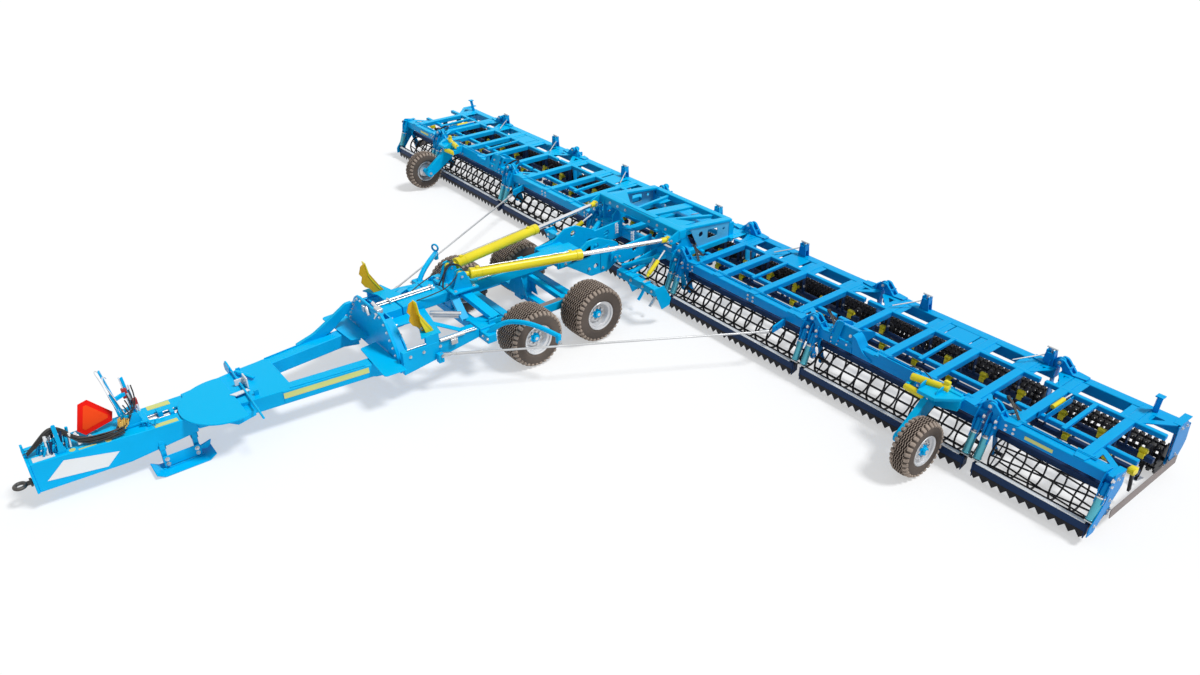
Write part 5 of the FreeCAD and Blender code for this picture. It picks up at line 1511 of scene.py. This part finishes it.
def tine_rows(low, high):
    """Two carriers with their tines and clamps."""
    start, end = low + TOOL_INSET, high - TOOL_INSET
    count = max(2, round((end - start) / 0.5))
    step = (end - start - 0.2) / (count - 0.5)
    places = [at(x, start + 0.07 + (k + 0.5 * row) * step, 0.47)
              for row, x in enumerate(CARRIERS) for k in range(count)]
    return repeat(tine_unit(), places) + [tube(at(x, start, 0.47), at(x, end, 0.47), 0.07, 0.07, 0.01)
                                          for x in CARRIERS]


print("tools ready")

# %% [markdown]
# Two kinds of roller run behind one another. The front one is an open cage of slim rings and round
# bars. In the outermost sections its bars are thinner and have a slight twist, so that they meet the
# soil one after the other. The rear roller is a close row of toothed rings.

# %% Front cage roller
CAGE_X, CAGE_RADIUS, CAGE_TURN, CAGE_BARS = -1.89, 0.215, math.radians(37), 8
CAGE_OUTER = {"size": 0.022, "ring_gap": 0.27, "twist": math.radians(38)}
CAGE_OTHER = {"size": 0.028, "ring_gap": 0.225, "twist": 0.0}


def ring_places(x, radius, low, high, count):
    """Evenly spaced places for the rings of a roller."""
    first, last = low + RING_INSET, high - RING_INSET
    return [at(x, first + k * (last - first) / (count - 1), radius) for k in range(count)]


def cage_roller(low, high, size, ring_gap, twist):
    """The front roller of a section."""
    parts = [bar(at(CAGE_X, edge, CAGE_RADIUS), at(CAGE_X, edge + inward, CAGE_RADIUS), 0.05)
             for edge, inward in ((low + 0.06, 0.12), (high - 0.06, -0.12))]
    start, face = low + ROLLER_INSET, high - low - 2 * ROLLER_INSET
    places = ring_places(CAGE_X, CAGE_RADIUS, low, high, max(4, round(face / ring_gap) + 1))
    ring = lathe([(-0.007, CAGE_RADIUS - 0.028), (-0.007, CAGE_RADIUS - 0.001),
                  (0.007, CAGE_RADIUS - 0.001), (0.007, CAGE_RADIUS - 0.028)], Vector((0, 0, 0)), 32)
    for place in (places[0], places[-1]):
        for angle in (math.pi / 4, 3 * math.pi / 4):
            arm = spoke(angle, CAGE_RADIUS - 0.02)
            parts.append(tube(place - arm, place + arm, 0.008, 0.024, 0))
    for k in range(CAGE_BARS):
        line = []
        for step in range(9):
            angle = 2 * math.pi * k / CAGE_BARS + CAGE_TURN + twist * (step / 8 - 0.5)
            line.append(at(CAGE_X, start + face * step / 8, CAGE_RADIUS)
                        + spoke(angle, CAGE_RADIUS - 0.017))
        parts.append(pipe(line, size))
    return parts + repeat(ring, places)


# %% Rear toothed roller
PACKER_X, PACKER_RADIUS, PACKER_TEETH, TOOTH_HEIGHT, RING_PITCH = -3.33, 0.21, 20, 0.034, 0.075


def toothed_roller(low, high):
    """The rear roller of a section."""
    tip, root = PACKER_RADIUS - 0.001, PACKER_RADIUS - 0.001 - TOOTH_HEIGHT
    outline = []
    for k in range(PACKER_TEETH):
        for turn, reach in ((0.0, root), (0.09, tip), (0.2, tip), (0.26, root)):
            angle = 2 * math.pi * k / PACKER_TEETH + turn
            outline.append((reach * math.cos(angle), reach * math.sin(angle)))
    wheel = plate(outline, 0.018, lambda u, v: Vector((u, 0, v)), ((0, 0, PACKER_RADIUS - 0.1),))
    count = round((high - low - 2 * ROLLER_INSET) / RING_PITCH)
    places = ring_places(PACKER_X, PACKER_RADIUS, low, high, count)
    turns = [Matrix.Rotation(0.11 * k, 4, "Y") for k in range(len(places))]
    parts = repeat(wheel, places, turns)
    start, end, edge = places[0], places[-1], Vector((0, 0.01, 0))
    shaft = Vector((0, 0.065, 0))
    parts.append(bar(start - shaft, end + shaft, 0.05))
    for k in range(6):
        arm = spoke(2 * math.pi * k / 6, PACKER_RADIUS - 0.06)
        parts.append(bar(start - edge + arm, end + edge + arm, 0.03, 8))
    return parts + [bar(place - edge / 2, place + edge / 2, 2 * PACKER_RADIUS - 0.1, 24)
                    for place in (start, end)]


print("rollers ready")

# %% [markdown]
# The outermost sections end in plates that close the rollers off, with a flat guard band between
# them near the ground. The front plate curves down like a sleigh runner; the rear one is a rounded
# cover.

# %% End plates and guard band
END_Y = 7.986


def end_plates():
    """The outer end of the left wing."""
    runner = side_plate([(-1.395, 0.13), (-1.4, 0.24, 0.05), (-1.6, 0.5, 0.2), (-1.68, 0.82, 0.05),
                         (-1.9, 0.82, 0.03), (-1.93, 0.6, 0.12), (-1.75, 0.4, 0.2),
                         (-1.53, 0.13, 0.03)], 0.012, END_Y)
    cover = side_plate([(-3.17, 0.36), (-3.15, 0.8), (-3.36, 0.82, 0.06), (-3.5, 0.7, 0.15),
                        (-3.545, 0.42, 0.15), (-3.44, 0.24, 0.08), (-3.25, 0.26, 0.05)], 0.012,
                       END_Y)
    band = side_plate([(-1.86, 0.155), (-1.83, 0.29, 0.03), (-3.42, 0.3, 0.03), (-3.43, 0.17)],
                      0.008, END_Y + 0.012)
    inner = END_Y - 0.03
    parts = [soften(runner, 0.002, 1), soften(cover, 0.002, 1), dip(band, "tan_band"),
             block(at(-3.33, END_Y - 0.04, 0.815), (0.3, 0.09, 0.01), 0.002),
             tube(at(-3.5, inner, 0.72), at(-3.545, inner, 0.45), 0.07, 0.01, 0.002),
             tube(at(-1.65, inner, 0.82), at(-1.9, inner, 0.825), 0.08, 0.01, 0.002),
             block(at(-1.56, END_Y - 0.045, 0.3), (0.03, 0.08, 0.2), 0.004)]
    parts += bolts([at(x, END_Y + 0.007, z) for x, z in
                    ((-1.74, 0.77), (-1.85, 0.77), (-1.7, 0.5), (-1.5, 0.24), (-3.24, 0.76),
                     (-3.38, 0.74), (-3.32, 0.35))], (0, 1, 0))
    parts += dip([block(at(-2.32, END_Y - 0.06, 0.56), (0.1, 0.09, 0.09), 0.02),
                  bar(at(-2.27, END_Y - 0.1, 0.58), at(-2.27, END_Y - 0.02, 0.58), 0.07, 14, 0.01)],
                 "yellow_paint")
    lever = END_Y - 0.07
    parts.append(dip(tube(at(-2.36, lever, 0.53), at(-2.45, lever, 0.2), 0.03, 0.05, 0.005),
                     "black_paint"))
    return parts


# %% [markdown]
# Small things are spread over the wing frames: pipes that run along the front tube, hoses over each
# inner hinge, a ram that sets the levelling bar, and humped plates that guard the support arm. The
# right wing's sections are welded as mirror images of the left one's.

# %% Pipes, rams and humps of a wing section
def services(low, high):
    """Pipes along the front tube of a wing section, and hoses over its inner hinge."""
    hoses = [at(-1.83, low + 0.3, 0.83), at(-1.9, low + 0.15, 0.96), at(-1.95, low + 0.04, 1.0),
             at(-1.95, low + 0.06, 0.94), at(-2.0, low + 0.22, 0.84)]
    beside = Vector((0.03, 0, 0.01))
    return [bar(at(x, low + 0.3, 0.829), at(x, high - 0.3, 0.829), 0.018, 8)
            for x in (-1.79, -1.815)] + dip([pipe(hoses, 0.02),
                                             pipe([p + beside for p in hoses], 0.02)], "hose")


def levelling_ram(y):
    """The small ram that sets the levelling bar, between two plates."""
    return [block(at(-2.45, y + dy, 0.8), (0.62, 0.012, 0.09)) for dy in (-0.045, 0.045)] + [
        dip(bar(at(-2.36, y, 0.835), at(-2.62, y, 0.835), 0.06, 14, 0.005), "yellow_paint"),
        dip(bar(at(-2.62, y, 0.835), at(-2.8, y, 0.83), 0.026, 10), "chrome")]


def humps():
    """The arched bracket over the front tube that guards the rams of the support wheel, and the
    concave gussets beside it."""
    parts = [soften(side_plate([(-1.67, 0.69), (-1.652, 0.77, 0.1), (-1.79, 1.0, 0.05),
                                (-2.165, 0.85, 0.1), (-2.165, 0.78), (-1.82, 0.75), (-1.82, 0.69)],
                               0.018, y, ((-1.79, 0.9, 0.03),)), 0.002, 1) for y in (4.1, 4.47)]
    parts += [tube(at(-1.665, 4.285, 0.7), at(-1.785, 4.285, 0.985), 0.355, 0.012, 0.003),
              tube(at(-1.785, 4.285, 0.985), at(-1.9, 4.285, 0.935), 0.355, 0.012, 0.003),
              tube(at(-1.64, 4.2, 0.76), at(-1.76, 4.2, 1.03), 0.09, 0.02, 0.004),
              tube(at(-1.665, 4.9, 0.84), at(-1.665, 5.5, 0.84), 0.012, 0.1, 0.003)]
    line = smoothed([Vector(p) for p in ((4.465, 0.97), (4.53, 0.94), (4.59, 0.85), (4.67, 0.77),
                                         (4.8, 0.72))])
    parts += [soften(cross_plate([tuple(p) for p in line] + [(4.8, 0.7), (4.465, 0.7)], 0.016, x),
                     0.002, 1) for x in (-1.68, -1.815)]
    parts.append(soften(cross_plate(strip_outline(line, 0.012), 0.17, -1.745), 0.002, 1))
    return parts + bolts([at(-1.69 - 0.1 * k, 4.19 + 0.19 * j, 0.775 + 0.23 * k)
                          for j in (0, 1) for k in (0.0, 0.5)], (1, 0, 0.4))


# %% Wing sections
eye_lug = side_plate([(-1.44, 0.565), (-1.44, 0.66, 0.03), (-1.68, 0.715), (-1.68, 0.6)], 0.03, 3.3,
                     ((-1.5, 0.62, 0.015),))
label_strip = dip(block(at(-1.678, 7.12, 0.745), (0.003, 0.34, 0.045), 0), "pale_label")
OWN_PARTS = {"inner": spindle(2.22) + [soften(eye_lug, 0.002, 1)],
             "middle": humps() + spindle(4.47) + spindle(6.32),
             "outer": end_plates() + beam_post(7.66) + levelling_ram(6.88) + [label_strip]}
for name, own_parts in OWN_PARTS.items():
    low, high, crosses = SECTIONS[name]
    ends = [(low, 1)] if name == "outer" else [(low, 1), (high, -1)]
    side_name = name + "_{}"
    # The left wing's frame takes the deepest blue and the right wing's a lighter one: painted shade.
    weld_pair(side_name + "_weldment",
              weldment(low, high, crosses, ends) + services(low, high) + own_parts, side_name,
              "blue_paint", side_name + "_frame", "frame_blue", "wing_blue")
    weld_pair(side_name + "_ground_tools", leveller(low, high) + tine_rows(low, high), side_name,
              "navy_paint", side_name + "_tools")
    cage = CAGE_OUTER if name == "outer" else CAGE_OTHER
    weld_pair(side_name + "_cage", cage_roller(low, high, **cage), side_name + "_front_roller",
              "black_paint", side_name + "_front_roller")
    weld_pair(side_name + "_packer", toothed_roller(low, high), side_name + "_rear_roller",
              "black_paint", side_name + "_rear_roller")
print("one wing section:", TALLY["middle_left_weldment"], "and", TALLY["middle_left_ground_tools"],
      "triangles; its rollers", TALLY["middle_left_cage"], TALLY["middle_left_packer"])

# %% [markdown]
# The centre section carries the tower that the lift cylinders pull on. The tower is a trapezoid of
# box tube with lugs for the rod eyes. Each of its sides is a flat flange over a thin web with a
# window and two holes. Two arms reach forward to the tilt shaft, and spring hooks on short beams
# loosen the wheel tracks.

# %% Centre section with its tower
def tower():
    """The stand for the lift cylinders."""
    side_y = 0.905
    web = side_plate([(-2.0, 1.19), (-2.88, 1.085), (-2.88, 0.81), (-2.2, 0.81)], 0.014,
                     side_y + 0.04, ([(-2.4, 1.06, 0.02), (-2.62, 1.03, 0.02), (-2.62, 0.9, 0.02),
                                      (-2.4, 0.9, 0.02)], (-2.25, 1.02, 0.045),
                                     (-2.76, 0.98, 0.025)))
    half = [
        tube(at(-1.79, side_y, 1.22), at(-2.93, side_y, 1.085), 0.13, 0.045, 0.01),
        soften(side_plate([(-1.7, 0.76), (-1.7, 1.15), (-1.96, 1.15), (-2.14, 0.8)], 0.024,
                          side_y - 0.03, ((-1.83, 0.98, 0.055),)), 0.003, 1),
        block(at(-2.93, side_y, 0.9), (0.11, 0.11, 0.28)), dip(soften(web, 0.002, 1), "pale_blue"),
        soften(side_plate([(-1.72, 1.06), (-1.72, 1.24), (-1.6, 1.19, 0.05), (-1.515, 1.16, 0.05),
                           (-1.505, 1.085, 0.04), (-1.56, 1.055, 0.03)], 0.03, 0.992), 0.003, 1),
        deck_plate([(-1.87, 0.85), (-1.87, 0.35), (-2.2, 0.86)], 0.012, 1.215),
        soften(side_plate([(-1.66, 0.82), (-1.62, 1.0, 0.05), (-1.75, 1.1), (-1.9, 0.82)], 0.02,
                          0.55), 0.003, 1),
        tube(at(-1.84, 0.28, 1.13), at(-2.88, 0.55, 1.03), 0.06, 0.05, 0.008)]
    half += bolts([at(-1.5 - 0.06 * k, 1.008, 1.12) for k in range(2)], (0, 1, 0))
    half += bolts([at(-1.712, y, 1.17) for y in (0.3, 0.5, 0.7)], (1, 0, 0))
    return both(half) + [tube(at(-1.79, -1.02, 1.17), at(-1.79, 1.02, 1.17), 0.15, 0.15, 0.018),
                         tube(at(-2.93, -0.9, 1.03), at(-2.93, 0.9, 1.03), 0.11, 0.11, 0.014),
                         tube(at(-1.79, 0, 1.15), at(-2.93, 0, 1.03), 0.2, 0.04, 0.008),
                         block(at(-1.79, 0, 1.252), (0.09, 0.8, 0.012), 0.003)]


def tilt_arms():
    """Arms to the tilt shaft, with their springs and small rams."""
    half = [
        soften(side_plate([(-0.86, 0.74), (-0.86, 0.88, 0.06), (-1.0, 0.93, 0.08), (-1.7, 0.98),
                           (-1.7, 0.69), (-1.1, 0.66, 0.1)], 0.04, 0.372, ((-1.35, 0.84, 0.06),)),
               0.004, 1),
        bar(at(SHAFT[0], 0.35, SHAFT[1]), at(SHAFT[0], 0.395, SHAFT[1]), 0.16, 24, 0.004),
        soften(side_plate([(-0.9, 0.56), (-0.9, 0.65, 0.04), (-1.69, 0.79), (-1.69, 0.7)], 0.03,
                          0.52), 0.003, 1),
        tube(at(-1.0, 0.72, 0.63), at(-1.68, 0.62, 0.72), 0.06, 0.06),
        tube(at(-0.98, 0.5, 0.67), at(-1.6, 0.85, 0.8), 0.07, 0.07)]
    half += dip([bar(at(-1.1, 1.02, 0.7), at(-1.33, 0.97, 0.84), 0.07, 16, 0.006),
                 bar(at(-1.06, 1.03, 0.675), at(-1.1, 1.02, 0.7), 0.05, 12)], "yellow_paint")
    half.append(dip(bar(at(-1.33, 0.97, 0.84), at(-1.5, 0.93, 0.945), 0.03), "chrome"))
    half += dip([bar(at(-1.3, y, 0.6), at(-1.42, y, 0.78), 0.04, 12, 0.004) for y in (0.78, 0.84)],
                "galvanised")
    coil = [at(-1.45 + 0.03 * math.cos(1.4 * k), 0.2 + 0.03 * math.sin(1.4 * k), 0.86 + 0.006 * k)
            for k in range(30)]
    return both(half + [dip(pipe(coil, 0.012, 6), "white_plate")])


def track_looseners():
    """The beams behind the wheels, with their shares and spring hooks."""
    half = [tube(at(-0.94, 0.5, 0.59), at(-0.94, 1.42, 0.59), 0.12, 0.12)]
    for y, x in ((1.43, 0.0), (0.7, -0.02)):
        share = side_plate([(x - 0.85, 0.67), (x - 1.05, 0.68), (x - 1.2, 0.42), (x - 1.17, 0.31),
                            (x - 1.02, 0.28)], 0.018, y)
        half.append(soften(share, 0.003, 1))
    hook = smoothed([Vector(p) for p in ((-0.9, 0.66), (-0.97, 0.68), (-1.13, 0.6), (-1.17, 0.42),
                                         (-1.12, 0.3), (-1.03, 0.2))])
    for y, colour in ((0.86, "blue_paint"), (1.14, "galvanised")):
        half += [dip(side_plate(strip_outline(hook, 0.02), 0.05, y), colour),
                 block(at(-0.94, y, 0.66), (0.14, 0.08, 0.02))]
    return both(half + bolts([at(-0.875, y, 0.6) for y in (0.6, 0.86, 1.14, 1.35)], (1, 0, 0)))


low, high, crosses = SECTIONS["centre"]
centre = weldment(low, high, crosses, []) + tower() + tilt_arms() + track_looseners() + spindle(0.3)
centre += both(hinge(high, FRONT_X, -1) + hinge(high, REAR_X, -1))
weld("centre_weldment", centre, "centre_section", "blue_paint", "centre_frame")
weld("centre_ground_tools", leveller(low, high) + tine_rows(low, high), "centre_section",
     "navy_paint", "centre_tools")
weld("centre_cage", cage_roller(low, high, **CAGE_OTHER), "centre_front_roller", "black_paint",
     "centre_front_roller")
weld("centre_packer", toothed_roller(low, high), "centre_rear_roller", "black_paint",
     "centre_rear_roller")
print("centre:", TALLY["centre_weldment"], "triangles")

# %% [markdown]
# A support wheel runs in front of each wing on a cranked arm. Two yellow rams side by side set its
# height, and a rounded housing covers the pivot.

# %% Support arms
ARM_Y, WHEEL_X, WHEEL_Z = 5.795, -1.025, 0.38
crank = [
    soften(side_plate([(-1.7, 0.7), (-1.66, 0.86, 0.08), (-1.5, 0.88, 0.12), (-1.3, 0.7, 0.15),
                       (-0.97, 0.46, 0.07), (-0.98, 0.31, 0.06), (-1.12, 0.33, 0.06),
                       (-1.4, 0.5, 0.15)], 0.09, ARM_Y), 0.01),
    bar(at(WHEEL_X, ARM_Y - 0.04, WHEEL_Z), at(WHEEL_X, 6.12, WHEEL_Z), 0.09, 18),
    bar(at(WHEEL_X, ARM_Y - 0.06, WHEEL_Z), at(WHEEL_X, ARM_Y + 0.07, WHEEL_Z), 0.15, 24, 0.006),
    block(at(-1.66, ARM_Y + 0.1, 0.8), (0.06, 0.46, 0.2), 0.01),
    soften(deck_plate([(-1.68, ARM_Y - 0.1), (-1.68, ARM_Y + 0.36), (-1.6, ARM_Y + 0.36),
                       (-1.36, ARM_Y + 0.14), (-1.36, ARM_Y - 0.1)], 0.05, 0.86), 0.01),
    soften(cross_plate([(ARM_Y + 0.05, 0.62), (ARM_Y + 0.34, 0.7), (ARM_Y + 0.36, 0.84),
                        (ARM_Y - 0.05, 0.84)], 0.03, -1.6), 0.006, 1),
    bar(at(-1.58, ARM_Y - 0.16, 0.84), at(-1.58, ARM_Y + 0.16, 0.84), 0.12, 24, 0.008),
    block(at(-1.6, ARM_Y - 0.3, 0.84), (0.14, 0.06, 0.13), 0.01),
    block(at(-1.52, ARM_Y - 0.3, 0.8), (0.14, 0.05, 0.09), 0.01)]
crank += [soften(side_plate([(-1.66, 0.8), (-1.62, 0.95, 0.06), (-1.45, 0.93, 0.08),
                             (-1.4, 0.8, 0.05), (-1.55, 0.74)], 0.02, y), 0.003, 1)
          for y in (ARM_Y - 0.11, ARM_Y + 0.11)]
crank += dip([bar(at(-1.54, ARM_Y - 0.31, 0.9), at(-1.63, ARM_Y + 0.15, 0.91), 0.095, 18, 0.008),
              bar(at(-1.622, ARM_Y + 0.1, 0.91), at(-1.634, ARM_Y + 0.16, 0.91), 0.11, 18, 0.005),
              bar(at(-1.45, ARM_Y - 0.32, 0.79), at(-1.43, ARM_Y - 0.02, 0.79), 0.09, 18, 0.008),
              block(at(-1.64, ARM_Y + 0.12, 0.95), (0.05, 0.08, 0.11), 0.01)], "yellow_paint")
crank += [dip(bar(at(-1.43, ARM_Y - 0.03, 0.79), at(-1.42, ARM_Y + 0.04, 0.79), 0.034), "chrome"),
          dip(pipe([at(-1.62, ARM_Y - 0.4, 0.96), at(-1.66, ARM_Y - 0.3, 1.0),
                    at(-1.62, ARM_Y - 0.14, 0.97), at(-1.6, ARM_Y - 0.05, 0.94)], 0.016), "hose")]
crank += bolts([at(WHEEL_X, ARM_Y - 0.062, WHEEL_Z), at(-1.58, ARM_Y - 0.165, 0.84)], (0, -1, 0),
               0.03)
weld_pair("support_arm_{}_crank", crank, "middle_{}", "blue_paint", "support_arm_{}")
print("support arms:", TALLY["support_arm_left_crank"], "triangles each")


# %% [markdown]
# A detailed piece stands for every plain node by now, but the nodes take their finish too, so that
# none is left bare.

# %% Plain nodes take their finish
for row in frame["record"]["subparts"]:
    node = frame["nodes"][row["node"]]
    node.data.materials.clear()
    node.data.materials.append(FINISH[row["material_slot"]])
print(len(TALLY), "pieces,", sum(TALLY.values()), "triangles added")
